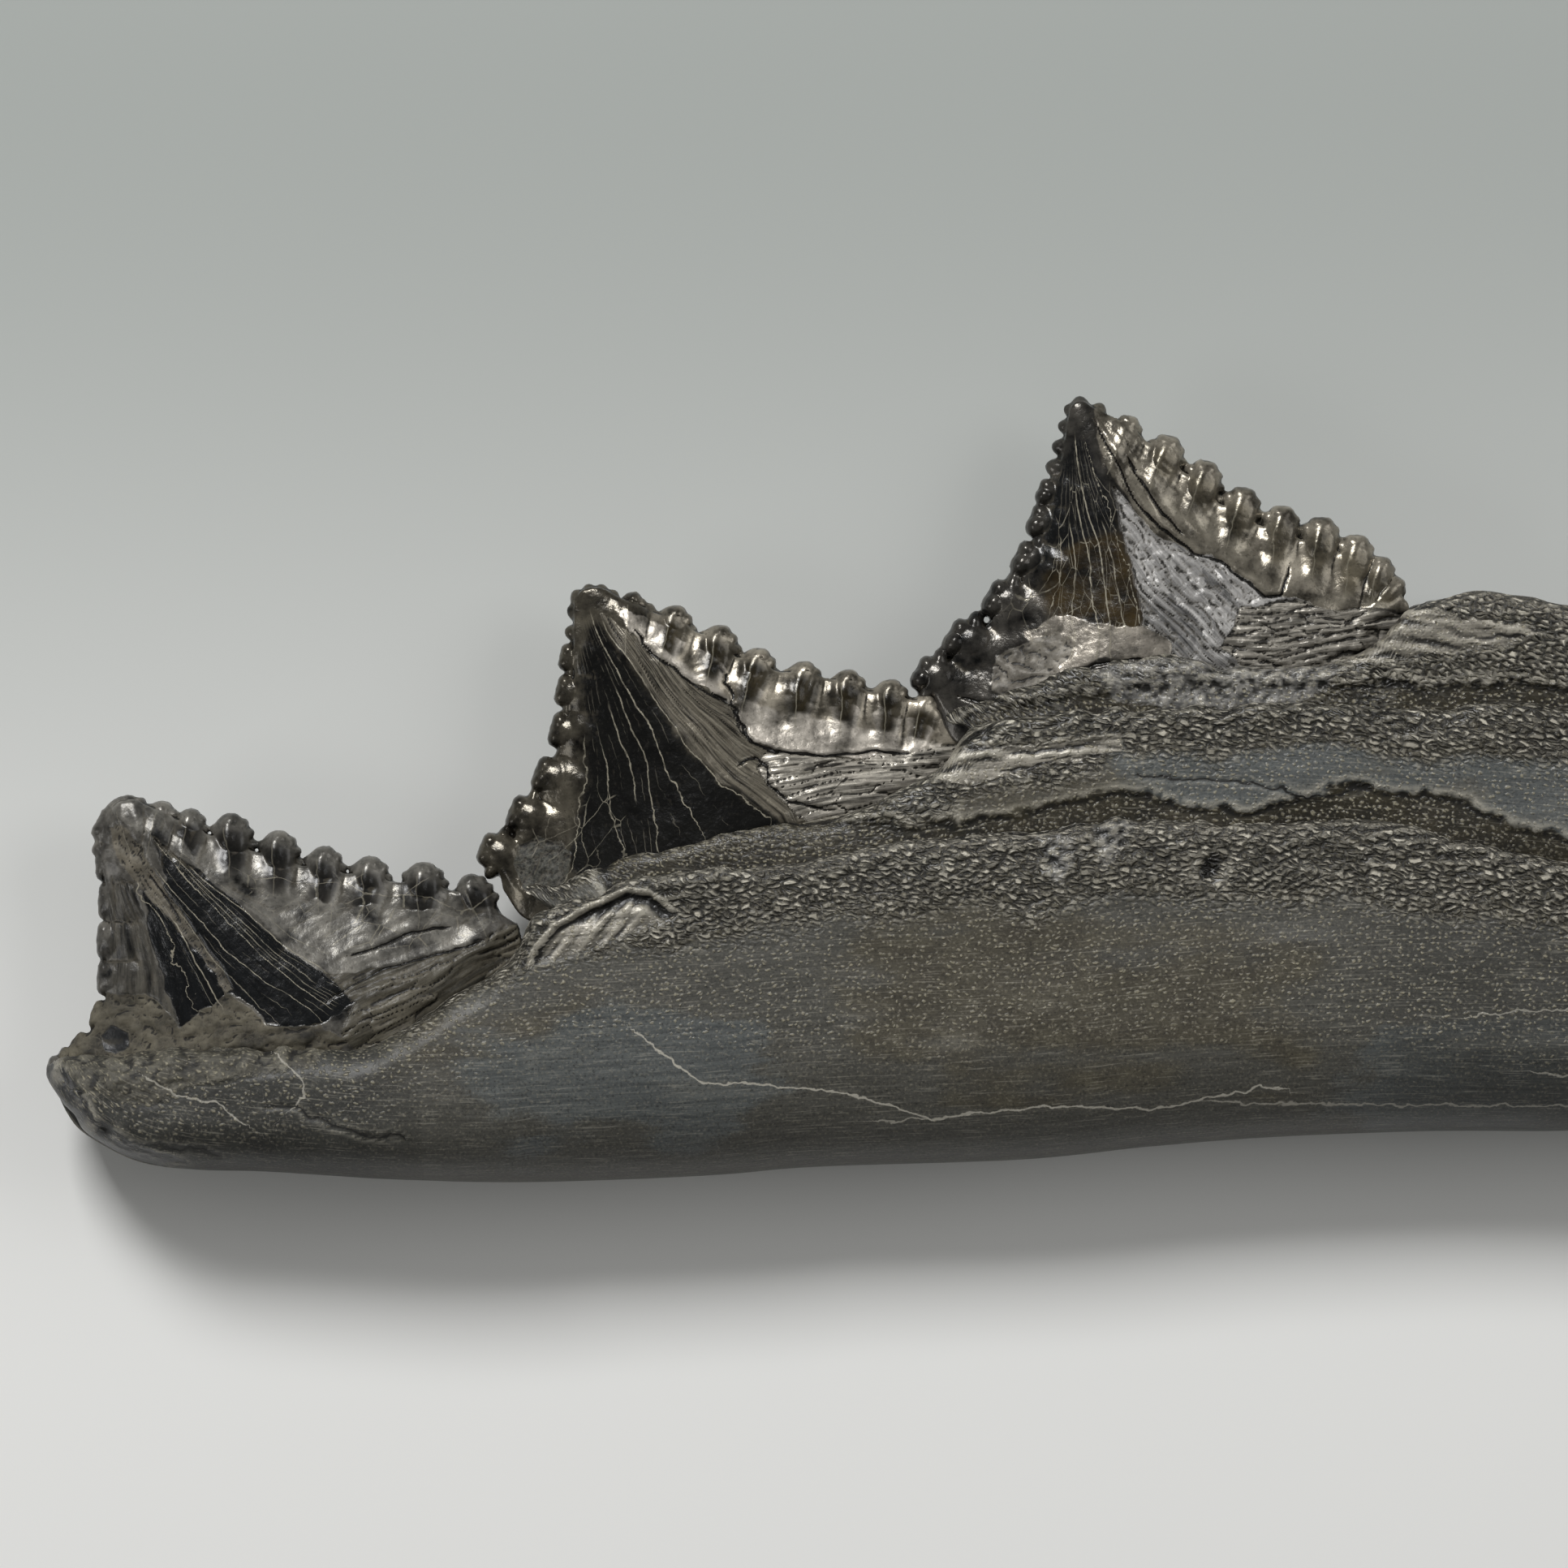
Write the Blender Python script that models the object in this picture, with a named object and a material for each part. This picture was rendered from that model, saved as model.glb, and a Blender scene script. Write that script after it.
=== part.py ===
"""Fossil shark jaw: a row of three serrated teeth whose long roots lie one inside the next.

The jaw lies on its side. X runs along the bar from the oldest tooth to the youngest, Y towards the
tips of the crowns, and Z up out of the flat back. All sizes are in millimetres until MM turns them
into metres. Outlines are drawn in the side view, about a point near the middle tooth; CENTRE then
puts the origin under the middle of the whole jaw.
"""

from dataclasses import dataclass
import math

import bmesh
import bpy
from mathutils import Matrix, Vector, noise
import numpy as np

MM = 0.001

# Driving dimensions of the whole jaw.
CENTRE = (23.65, -0.4)
MIDDLE_PLANE = 7.4
NEIGHBOUR_GAP = 0.35
STATION_PITCH = 4.6
END_TIGHTENING = 0.6
BREAK_ROUGHNESS = 1.5
BREAK_LUMP_SIZE = 3.2

# Cross-section of a root, from its keel (0) to its upper rim (1).
RING_STEPS = (0.0, 0.035, 0.11, 0.23, 0.40, 0.62, 0.84, 0.96, 1.0)
KEEL_ROUNDING = 0.42
KEEL_POWER = 2.2
RIM_NARROWING = 0.05
RIM_ROUNDING = 0.10
RIM_POWER = 16

# Weathering of the roots: gentle lumps on the upper part, and a broken upper edge.
LUMP_SIZE = 5.5
LUMP_HEIGHT = 0.28
BACK_LUMPS_APART = 7.0
BROKEN_RIM_LUMP_SIZE = 1.4

# Crowns: a lens in cross-section, thin along its two cutting edges.
CROWN_ROWS = 9
CROWN_COLUMNS = 10
EDGE_HALF_THICKNESS = 0.8
RIDGE_POWER = 1.6
RIDGE_RISE_POWER = 0.8

# Serrations, as egg-shaped lobes that run down the faces as short ribs.
LOBE_SEGMENTS = 8
LOBE_RINGS = 5
BEAD_SEGMENTS = 6
BEAD_RINGS = 4

Point = tuple[float, float]


@dataclass(frozen=True)
class Lobe:
    """One serration: its tip, the direction it points in, and its semi-axes."""

    tip: Point
    heading_deg: float
    half_length: float = 2.7
    half_width: float = 1.55
    half_depth: float = 1.75

    @property
    def is_bead(self) -> bool:
        return self.half_length < 2.0


@dataclass(frozen=True)
class Root:
    """A root as curves over X: the lower keel, the upper rim and the half thickness."""

    keel: tuple[Point, ...]
    rim: tuple[Point, ...]
    half_thickness: tuple[Point, ...]
    groove_depth: tuple[Point, ...] = ()
    rim_wall: float = 1.4
    broken_rim_from: float = math.inf
    broken_rim_height: float = 0.5


@dataclass(frozen=True)
class Crown:
    """A crown between its worn tip, two serrated edges and a lower margin inside the root."""

    tip: tuple[Point, ...]
    left_edge: tuple[Point, ...]
    right_edge: tuple[Point, ...]
    margin: tuple[Point, ...]
    ridge_place: float
    tip_half_thickness: float
    base_half_thickness: float


@dataclass(frozen=True)
class Tooth:
    """One tooth of the row, grown as a single piece."""

    name: str
    root: Root
    crown: Crown
    lobes: tuple[Lobe, ...]
    colour: tuple[float, float, float]
    roughness: float


FRONT_TOOTH = Tooth(
    name="front_tooth",
    root=Root(
        keel=(
            (-60.4, -24.0), (-59.1, -27.0), (-57.4, -28.9), (-53.2, -31.0), (-48.4, -31.6),
            (-42.4, -31.9), (-31.1, -32.6), (-23.0, -32.8), (-14.3, -32.6), (-4.9, -32.1),
            (2.5, -31.5), (19.5, -30.9), (30.5, -29.8), (39.3, -29.1), (51.7, -28.6),
            (64.4, -28.5), (80.0, -28.0), (88.0, -26.4), (92.0, -23.8),
        ),
        rim=(
            (-60.4, -22.9), (-58.0, -21.0), (-56.0, -19.2), (-48.0, -18.0), (-40.0, -18.2),
            (-34.0, -16.5), (-28.0, -13.0), (-21.7, -10.4), (-17.5, -9.4), (-15.0, -9.0),
            (-10.5, -7.2), (-2.0, -6.7), (3.8, -5.7), (10.7, -4.8), (21.3, -3.9),
            (28.7, -2.8), (35.0, -3.2), (40.8, -3.3), (45.7, -2.8), (50.7, -3.0),
            (55.0, -4.3), (59.1, -5.7), (64.4, -6.2), (75.0, -7.0), (86.0, -8.8), (92.0, -11.5),
        ),
        half_thickness=(
            (-60.4, 2.2), (-58.5, 4.0), (-54.0, 5.8), (-45.0, 7.0), (-30.0, 7.7), (-15.0, 8.2),
            (5.0, 8.3), (64.0, 8.3), (80.0, 8.1), (88.0, 7.2), (92.0, 5.6),
        ),
    ),
    crown=Crown(
        tip=((-55.2, -2.2), (-54.6, -1.6), (-53.4, -1.4), (-52.2, -1.9)),
        left_edge=(
            (-55.2, -2.2), (-55.8, -4.0), (-55.7, -8.0), (-55.2, -12.0), (-55.3, -16.0),
            (-56.6, -20.0), (-58.6, -22.3),
        ),
        right_edge=(
            (-52.2, -1.9), (-47.3, -4.2), (-43.5, -5.6), (-39.6, -6.8), (-35.9, -7.4),
            (-31.9, -8.1), (-28.0, -8.6), (-24.5, -10.0), (-21.9, -11.6),
        ),
        margin=(
            (-58.6, -22.3), (-54.0, -22.8), (-48.0, -22.0), (-40.0, -21.4), (-34.0, -20.2),
            (-28.0, -16.6), (-21.9, -12.8),
        ),
        ridge_place=0.46,
        tip_half_thickness=1.5,
        base_half_thickness=5.6,
    ),
    lobes=(
        Lobe((-54.6, -1.0), 100.0, 2.2, 1.5, 1.5),
        Lobe((-51.1, -1.4), 80.0, 2.4, 1.4, 1.6),
        Lobe((-48.8, -2.0), 85.0, 2.4, 1.3, 1.6),
        Lobe((-45.7, -2.4), 96.0),
        Lobe((-41.7, -3.8), 92.0),
        Lobe((-37.9, -5.1), 90.0),
        Lobe((-34.1, -5.9), 88.0),
        Lobe((-29.7, -6.4), 90.0, 2.7, 1.7, 1.8),
        Lobe((-26.2, -7.5), 112.0, 2.5, 1.4, 1.7),
        Lobe((-56.7, -6.0), 175.0, 2.2, 1.8, 1.5),
        Lobe((-56.1, -9.6), 180.0, 2.0, 1.3, 1.4),
        Lobe((-56.3, -12.8), 180.0, 2.0, 1.3, 1.4),
        Lobe((-56.3, -15.9), 185.0, 2.0, 1.3, 1.5),
        Lobe((-57.1, -18.9), 165.0, 2.2, 1.3, 1.6),
        Lobe((-58.7, -21.2), 150.0, 2.2, 1.3, 1.8),
        Lobe((-60.7, -23.4), 175.0, 2.2, 1.2, 1.8),
    ),
    colour=(0.060, 0.056, 0.050),
    roughness=0.55,
)

MIDDLE_TOOTH = Tooth(
    name="middle_tooth",
    root=Root(
        keel=(
            (-21.7, -9.4), (-17.7, -11.4), (-11.0, -13.6), (2.0, -13.8), (21.0, -12.0),
            (42.0, -11.4), (64.0, -13.4), (82.0, -14.6), (95.0, -15.0), (101.0, -13.0),
        ),
        rim=(
            (-21.7, -8.0), (-17.7, -7.2), (-13.7, -5.6), (-4.4, -2.3), (2.3, 0.7), (8.9, 3.2),
            (14.9, 4.4), (23.1, 5.7), (30.9, 6.2), (35.5, 6.4), (44.3, 6.5), (54.9, 6.4),
            (64.4, 6.4), (80.0, 5.6), (94.0, 3.6), (101.0, 0.6),
        ),
        half_thickness=(
            (-21.7, 2.0), (-17.0, 4.4), (-10.0, 5.8), (0.0, 6.5), (15.0, 6.9), (64.0, 6.9),
            (85.0, 6.6), (96.0, 5.8), (101.0, 4.2),
        ),
    ),
    crown=Crown(
        tip=((-17.2, 15.2), (-16.4, 16.0), (-15.0, 16.1), (-13.4, 15.2)),
        left_edge=(
            (-17.2, 15.2), (-17.3, 12.7), (-17.2, 10.5), (-17.2, 8.0), (-17.6, 5.5),
            (-18.2, 2.4), (-19.6, -1.0), (-21.6, -3.8), (-23.6, -6.3),
        ),
        right_edge=(
            (-13.4, 15.2), (-10.4, 13.9), (-7.1, 12.4), (-3.7, 10.3), (-0.4, 9.2), (2.9, 8.8),
            (6.7, 7.6), (10.3, 6.9), (12.6, 6.0), (15.0, 4.4),
        ),
        margin=(
            (-23.6, -6.3), (-21.6, -8.9), (-17.7, -9.5), (-12.4, -7.9), (-7.1, -5.9),
            (-1.1, -3.9), (5.6, -1.3), (10.9, 0.7), (15.0, 2.7),
        ),
        ridge_place=0.47,
        tip_half_thickness=1.3,
        base_half_thickness=5.1,
    ),
    lobes=(
        Lobe((-17.3, 16.0), 120.0, 1.6, 0.9, 1.2),
        Lobe((-16.2, 16.5), 105.0, 1.6, 0.9, 1.2),
        Lobe((-15.0, 16.5), 85.0, 1.6, 0.9, 1.2),
        Lobe((-13.9, 16.0), 65.0, 1.6, 0.9, 1.2),
        Lobe((-12.5, 15.8), 88.0, 2.6, 1.2, 1.5),
        Lobe((-10.9, 14.9), 70.0, 1.7, 0.8, 1.2),
        Lobe((-8.9, 14.7), 80.0),
        Lobe((-5.2, 13.1), 80.0),
        Lobe((-2.0, 11.2), 78.0),
        Lobe((1.6, 10.1), 86.0),
        Lobe((5.2, 9.4), 88.0),
        Lobe((8.7, 8.6), 88.0),
        Lobe((11.7, 7.4), 80.0, 2.2, 1.3, 1.6),
        Lobe((-17.9, 14.4), 165.0, 1.7, 1.0, 1.1),
        Lobe((-18.1, 12.6), 170.0, 1.7, 0.9, 1.1),
        Lobe((-18.5, 10.5), 172.0, 2.1, 1.2, 1.3),
        Lobe((-18.8, 7.8), 170.0, 2.3, 1.4, 1.5),
        Lobe((-19.3, 4.6), 168.0, 2.6, 1.6, 1.7),
        Lobe((-20.6, 1.0), 163.0, 2.7, 1.6, 1.8),
        Lobe((-22.7, -2.2), 163.0, 2.7, 1.6, 1.8),
        Lobe((-25.1, -5.2), 163.0, 2.6, 1.5, 1.8),
    ),
    colour=(0.052, 0.050, 0.047),
    roughness=0.45,
)

REAR_TOOTH = Tooth(
    name="rear_tooth",
    root=Root(
        keel=(
            (13.3, 4.9), (16.5, 2.6), (21.0, 1.0), (28.0, 0.2), (50.0, 0.2), (64.0, 0.2),
            (80.0, -0.6), (95.0, -1.4), (103.0, -0.8), (108.0, 1.6),
        ),
        rim=(
            (13.3, 6.6), (16.5, 7.2), (20.0, 8.0), (26.0, 9.4), (33.0, 10.4), (42.0, 12.4),
            (48.0, 14.2), (51.3, 15.1), (54.8, 15.7), (60.0, 15.2), (64.4, 14.8), (76.0, 14.0),
            (90.0, 12.4), (102.0, 9.6), (108.0, 6.6),
        ),
        half_thickness=(
            (13.3, 1.8), (17.0, 3.6), (25.0, 4.8), (35.0, 5.4), (64.0, 5.6), (90.0, 5.4),
            (103.0, 4.6), (108.0, 3.2),
        ),
        groove_depth=((50.0, 0.1), (58.0, 2.2), (108.0, 3.0)),
        broken_rim_from=50.0,
    ),
    crown=Crown(
        tip=((23.5, 30.8), (23.9, 31.4), (24.6, 31.5), (25.4, 31.0)),
        left_edge=(
            (23.5, 30.8), (23.1, 28.4), (22.7, 25.7), (22.1, 23.1), (21.3, 20.1), (19.9, 16.9),
            (17.9, 14.3), (15.5, 11.7), (13.2, 9.6), (12.2, 7.9),
        ),
        right_edge=(
            (25.4, 31.0), (27.9, 29.6), (30.6, 27.5), (33.6, 25.0), (36.4, 22.6), (39.5, 21.1),
            (42.7, 20.0), (45.9, 18.8), (48.6, 17.0), (51.3, 14.9),
        ),
        margin=(
            (12.2, 7.9), (13.6, 5.7), (16.0, 4.9), (19.0, 5.6), (23.0, 7.0), (28.0, 8.2),
            (34.0, 8.8), (40.0, 9.3), (46.0, 10.6), (51.3, 12.8),
        ),
        ridge_place=0.45,
        tip_half_thickness=1.1,
        base_half_thickness=4.6,
    ),
    lobes=(
        Lobe((24.3, 32.0), 95.0, 1.7, 1.0, 1.2),
        Lobe((26.2, 31.4), 65.0, 1.7, 0.9, 1.1),
        Lobe((28.6, 30.3), 72.0, 2.4, 1.3, 1.4),
        Lobe((31.9, 28.7), 72.0),
        Lobe((35.0, 26.6), 72.0),
        Lobe((38.1, 24.4), 74.0),
        Lobe((41.2, 22.9), 80.0),
        Lobe((44.4, 22.0), 82.0),
        Lobe((47.3, 20.5), 80.0),
        Lobe((49.4, 18.7), 75.0, 2.3, 1.2, 1.6),
        Lobe((50.8, 16.9), 50.0, 2.0, 1.1, 1.6),
        Lobe((23.0, 31.0), 160.0, 1.5, 0.8, 1.0),
        Lobe((22.5, 29.6), 165.0, 1.5, 0.8, 1.0),
        Lobe((22.0, 27.9), 168.0, 1.7, 0.9, 1.1),
        Lobe((21.5, 26.2), 168.0, 1.9, 1.0, 1.2),
        Lobe((20.9, 24.2), 168.0, 2.1, 1.1, 1.4),
        Lobe((20.2, 21.9), 166.0, 2.4, 1.4, 1.6),
        Lobe((19.0, 18.8), 163.0, 2.6, 1.5, 1.7),
        Lobe((16.7, 15.6), 160.0, 2.7, 1.6, 1.8),
        Lobe((13.5, 12.4), 158.0, 2.7, 1.6, 1.8),
        Lobe((10.8, 9.4), 160.0, 2.5, 1.5, 1.8),
    ),
    colour=(0.085, 0.078, 0.068),
    roughness=0.45,
)

# A flake lost from the side of the bar, below the foot of the middle crown.
FLAKE_PLACE = (-13.6, -11.5)
FLAKE_SEMI_AXES = (6.6, 1.9, 1.1)
FLAKE_TURN_DEG = 14.0
FLAKE_HEIGHT_ON_FACE = 7.8
FLAKE_SEGMENTS = 14
FLAKE_RINGS = 6


def value_at(points: tuple[Point, ...], x: float) -> float:
    """Reads a curve given as (x, value) points."""
    xs, values = zip(*points)
    return float(np.interp(x, xs, values))


def along(points: tuple[Point, ...], part: float) -> np.ndarray:
    """The point at a part, 0 to 1, of a polyline's length."""
    corners = np.array(points)
    lengths = np.linalg.norm(np.diff(corners, axis=0), axis=1)
    reached = np.concatenate([[0.0], np.cumsum(lengths)]) / lengths.sum()
    return np.array([np.interp(part, reached, corners[:, axis]) for axis in (0, 1)])


def placed(x: float, y: float, z: float) -> Vector:
    """A drawn point in the jaw's own frame, in metres, kept above the flat back."""
    return Vector((x - CENTRE[0], y - CENTRE[1], max(z, 0.0))) * MM


def width_factor(step: float) -> float:
    """Half thickness at a height in the root, as a part of its greatest: a round keel, then nearly flat."""
    below = 1.0 - min(step / KEEL_ROUNDING, 1.0)
    rounded = (1.0 - below**KEEL_POWER) ** (1.0 / KEEL_POWER)
    above = max(step - KEEL_ROUNDING, 0.0) / (1.0 - KEEL_ROUNDING)
    return rounded - RIM_NARROWING * above**2 - RIM_ROUNDING * above**RIM_POWER


def lump(x: float, y: float, side: float) -> float:
    """Gentle weathered swelling of a root's face at a point, other on the front than on the back."""
    spot = Vector((x / LUMP_SIZE, 2.0 * y / LUMP_SIZE, side * BACK_LUMPS_APART))
    return LUMP_HEIGHT * noise.noise(spot)


def broken_off(point: Vector) -> Vector:
    """Moves a point of the far end along the bar, for the uneven face where the root broke off."""
    depth = BREAK_ROUGHNESS * abs(noise.noise(point / MM / BREAK_LUMP_SIZE))
    return point - Vector((depth * MM, 0.0, 0.0))


def root_ring(root: Root, x: float) -> list[Vector]:
    """One closed cross-section of a root: keel, front, top and back."""
    low, high = value_at(root.keel, x), value_at(root.rim, x)
    if x > root.broken_rim_from:
        high += root.broken_rim_height * noise.noise(Vector((x / BROKEN_RIM_LUMP_SIZE, 0.0, 0.0)))
    widest = value_at(root.half_thickness, x)
    faces = {}
    for side in (1.0, -1.0):
        faces[side] = []
        for step in RING_STEPS[1:]:
            y = low + (high - low) * step
            half = widest * width_factor(step) + lump(x, y, side) * step
            faces[side].append(placed(x, y, MIDDLE_PLANE + side * half))
    top = []
    if root.groove_depth:
        wall = widest * width_factor(1.0) - root.rim_wall
        middle = high - value_at(root.groove_depth, x)
        top = [
            placed(x, 0.5 * (high + middle), MIDDLE_PLANE + wall),
            placed(x, middle, MIDDLE_PLANE),
            placed(x, 0.5 * (high + middle), MIDDLE_PLANE - wall),
        ]
    return [placed(x, low, MIDDLE_PLANE), *faces[1.0], *top, *reversed(faces[-1.0])]


def crown_point(crown: Crown, down: float, across: float) -> np.ndarray:
    """A drawn point of a crown: down from tip to margin, across from the left edge to the right one."""
    tip, margin = along(crown.tip, across), along(crown.margin, across)
    left, right = along(crown.left_edge, down), along(crown.right_edge, down)
    corners = (
        (1.0 - down) * ((1.0 - across) * along(crown.tip, 0.0) + across * along(crown.tip, 1.0))
        + down * ((1.0 - across) * along(crown.margin, 0.0) + across * along(crown.margin, 1.0))
    )
    return (1.0 - down) * tip + down * margin + (1.0 - across) * left + across * right - corners


def crown_half_thickness(crown: Crown, down: float, across: float) -> float:
    """Half thickness of a crown: a ridge from the tip down, thin along the two edges."""
    reach = crown.ridge_place if across < crown.ridge_place else 1.0 - crown.ridge_place
    off_ridge = min(abs(across - crown.ridge_place) / reach, 1.0)
    rise = (crown.base_half_thickness - crown.tip_half_thickness) * down**RIDGE_RISE_POWER
    ridge = crown.tip_half_thickness + rise
    return EDGE_HALF_THICKNESS + (ridge - EDGE_HALF_THICKNESS) * (1.0 - off_ridge**RIDGE_POWER)


def crown_ring(crown: Crown, down: float) -> list[Vector]:
    """One row of a crown: its front from left to right, then its back from right to left."""
    rows = {1.0: [], -1.0: []}
    for column in range(CROWN_COLUMNS + 1):
        across = column / CROWN_COLUMNS
        x, y = crown_point(crown, down, across)
        half = crown_half_thickness(crown, down, across)
        for side, row in rows.items():
            row.append(placed(x, y, MIDDLE_PLANE + side * half))
    return [*rows[1.0], *reversed(rows[-1.0])]


def skin(rings: list[list[Vector]]) -> tuple[bmesh.types.BMesh, list[list[bmesh.types.BMVert]]]:
    """Skins closed rings of equal counts into a tube that is still open at its ends."""
    form = bmesh.new()
    loops = [[form.verts.new(point) for point in ring] for ring in rings]
    for near, far in zip(loops, loops[1:]):
        for corners in zip(near, near[1:] + near[:1], far[1:] + far[:1], far):
            form.faces.new(corners)
    return form, loops


def root_form(root: Root) -> bmesh.types.BMesh:
    """A root lofted through stations along the bar, closer together towards its ends."""
    start, end = root.keel[0][0], root.keel[-1][0]
    parts = np.linspace(0.0, 1.0, round((end - start) / STATION_PITCH) + 1)
    parts -= END_TIGHTENING * np.sin(2.0 * np.pi * parts) / (2.0 * np.pi)
    rings = [root_ring(root, start + (end - start) * part) for part in parts]
    rings[-1] = [broken_off(point) for point in rings[-1]]
    form, loops = skin(rings)
    for loop in (loops[0], loops[-1]):
        bmesh.ops.triangulate(form, faces=[form.faces.new(loop)], ngon_method="EAR_CLIP")
    bmesh.ops.recalc_face_normals(form, faces=form.faces)
    return form


def crown_form(crown: Crown) -> bmesh.types.BMesh:
    """A crown lofted from its tip down to the margin inside the root."""
    form, loops = skin([crown_ring(crown, row / CROWN_ROWS) for row in range(CROWN_ROWS + 1)])
    for loop in (loops[0], loops[-1]):
        front, back = loop[: CROWN_COLUMNS + 1], loop[:CROWN_COLUMNS:-1]
        for corners in zip(front, front[1:], back[1:], back):
            form.faces.new(corners)
    bmesh.ops.recalc_face_normals(form, faces=form.faces)
    return form


def egg_form(centre: Point, height: float, turn_deg: float, semi_axes: tuple[float, float, float],
             segments: int, rings: int) -> bmesh.types.BMesh:
    """An egg with its first semi-axis turned in the side view, its second across it and its third along Z."""
    form = bmesh.new()
    bmesh.ops.create_uvsphere(form, u_segments=segments, v_segments=rings, radius=1.0)
    length, width, depth = semi_axes
    lay_down = Matrix.Rotation(math.radians(90.0), 4, "Y")
    shape = Matrix.Diagonal((length * MM, width * MM, depth * MM, 1.0))
    turn = Matrix.Rotation(math.radians(turn_deg), 4, "Z")
    place = Matrix.Translation(placed(centre[0], centre[1], height))
    bmesh.ops.transform(form, matrix=place @ turn @ shape @ lay_down, verts=form.verts)
    return form


def lobe_form(lobe: Lobe) -> bmesh.types.BMesh:
    """A serration as an egg whose outer end is the tip."""
    heading = math.radians(lobe.heading_deg)
    centre = (
        lobe.tip[0] - lobe.half_length * math.cos(heading),
        lobe.tip[1] - lobe.half_length * math.sin(heading),
    )
    segments, rings = (BEAD_SEGMENTS, BEAD_RINGS) if lobe.is_bead else (LOBE_SEGMENTS, LOBE_RINGS)
    semi_axes = (lobe.half_length, lobe.half_width, lobe.half_depth)
    return egg_form(centre, MIDDLE_PLANE, lobe.heading_deg, semi_axes, segments, rings)


def grow(form: bmesh.types.BMesh, distance: float) -> bmesh.types.BMesh:
    """Moves a body's surface outwards, to clear a neighbour."""
    form.normal_update()
    moved = [(vert, vert.co + vert.normal * distance * MM) for vert in form.verts]
    for vert, place in moved:
        vert.co = place
    return form


def add_object(name: str, form: bmesh.types.BMesh) -> bpy.types.Object:
    """Turns a body into a named object of the scene."""
    mesh = bpy.data.meshes.new(name)
    form.to_mesh(mesh)
    form.free()
    solid = bpy.data.objects.new(name, mesh)
    bpy.context.scene.collection.objects.link(solid)
    return solid


def add_guides(name: str, forms: list[bmesh.types.BMesh]) -> bpy.types.Collection:
    """Keeps bodies that are joined to or cut from a tooth as hidden guides in a collection."""
    guides = bpy.data.collections.new(name)
    bpy.context.scene.collection.children.link(guides)
    guides.hide_render = True
    for number, form in enumerate(forms):
        guide = add_object(f"{name}_{number}", form)
        bpy.context.scene.collection.objects.unlink(guide)
        guides.objects.link(guide)
        guide.hide_render = True
        guide.display_type = "WIRE"
    return guides


def combine(solid: bpy.types.Object, operation: str, guides: bpy.types.Collection) -> None:
    """Joins the guides to a solid, or cuts them from it."""
    boolean = solid.modifiers.new(operation.lower(), "BOOLEAN")
    boolean.operand_type = "COLLECTION"
    boolean.collection = guides
    boolean.operation = operation
    boolean.solver = "EXACT"


def finish_of(tooth: Tooth) -> bpy.types.Material:
    """Mineralised tooth and root: nearly black, with a dull gloss."""
    material = bpy.data.materials.new(f"{tooth.name}_fossil")
    material.use_nodes = True
    shader = material.node_tree.nodes["Principled BSDF"]
    shader.inputs["Base Color"].default_value = (*tooth.colour, 1.0)
    shader.inputs["Roughness"].default_value = tooth.roughness
    shader.inputs["Metallic"].default_value = 0.0
    return material


def room_for(tooth: Tooth) -> list[bmesh.types.BMesh]:
    """The space that a tooth takes in the older one, with the gap round it."""
    forms = [root_form(tooth.root), crown_form(tooth.crown), *map(lobe_form, tooth.lobes[-2:])]
    return [grow(form, NEIGHBOUR_GAP) for form in forms]


def lost_flake() -> bmesh.types.BMesh:
    """The shallow scar where a flake came off the front of the bar."""
    height = MIDDLE_PLANE + FLAKE_HEIGHT_ON_FACE
    return egg_form(FLAKE_PLACE, height, FLAKE_TURN_DEG, FLAKE_SEMI_AXES, FLAKE_SEGMENTS, FLAKE_RINGS)


def add_tooth(tooth: Tooth, cuts: list[bmesh.types.BMesh]) -> bpy.types.Object:
    """Builds one tooth: root, crown and serrations joined, and then cut to clear its neighbour."""
    solid = add_object(tooth.name, root_form(tooth.root))
    joined = [crown_form(tooth.crown), *map(lobe_form, tooth.lobes)]
    combine(solid, "UNION", add_guides(f"{tooth.name}_joined", joined))
    if cuts:
        combine(solid, "DIFFERENCE", add_guides(f"{tooth.name}_cut", cuts))
    solid.data.materials.append(finish_of(tooth))
    return solid


def main() -> None:
    for old in list(bpy.data.objects):
        bpy.data.objects.remove(old, do_unlink=True)
    add_tooth(FRONT_TOOTH, [*room_for(MIDDLE_TOOTH), lost_flake()])
    add_tooth(MIDDLE_TOOTH, room_for(REAR_TOOTH))
    add_tooth(REAR_TOOTH, [])


main()
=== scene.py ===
"""Looks of a fossil shark jaw: three serrated crowns on long roots that lie one inside the next.

The jaw lies on its flat back. Outlines are drawn in millimetres in the side view, as in the solid
model: X along the bar, Y towards the tips of the crowns, Z up out of the back. `placed` turns them
into the jaw's own frame, in metres.
"""

from dataclasses import dataclass, field
from enum import Enum
import itertools
import logging
import math

import bmesh
import bpy
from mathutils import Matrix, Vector
from mathutils.kdtree import KDTree
import numpy as np


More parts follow.
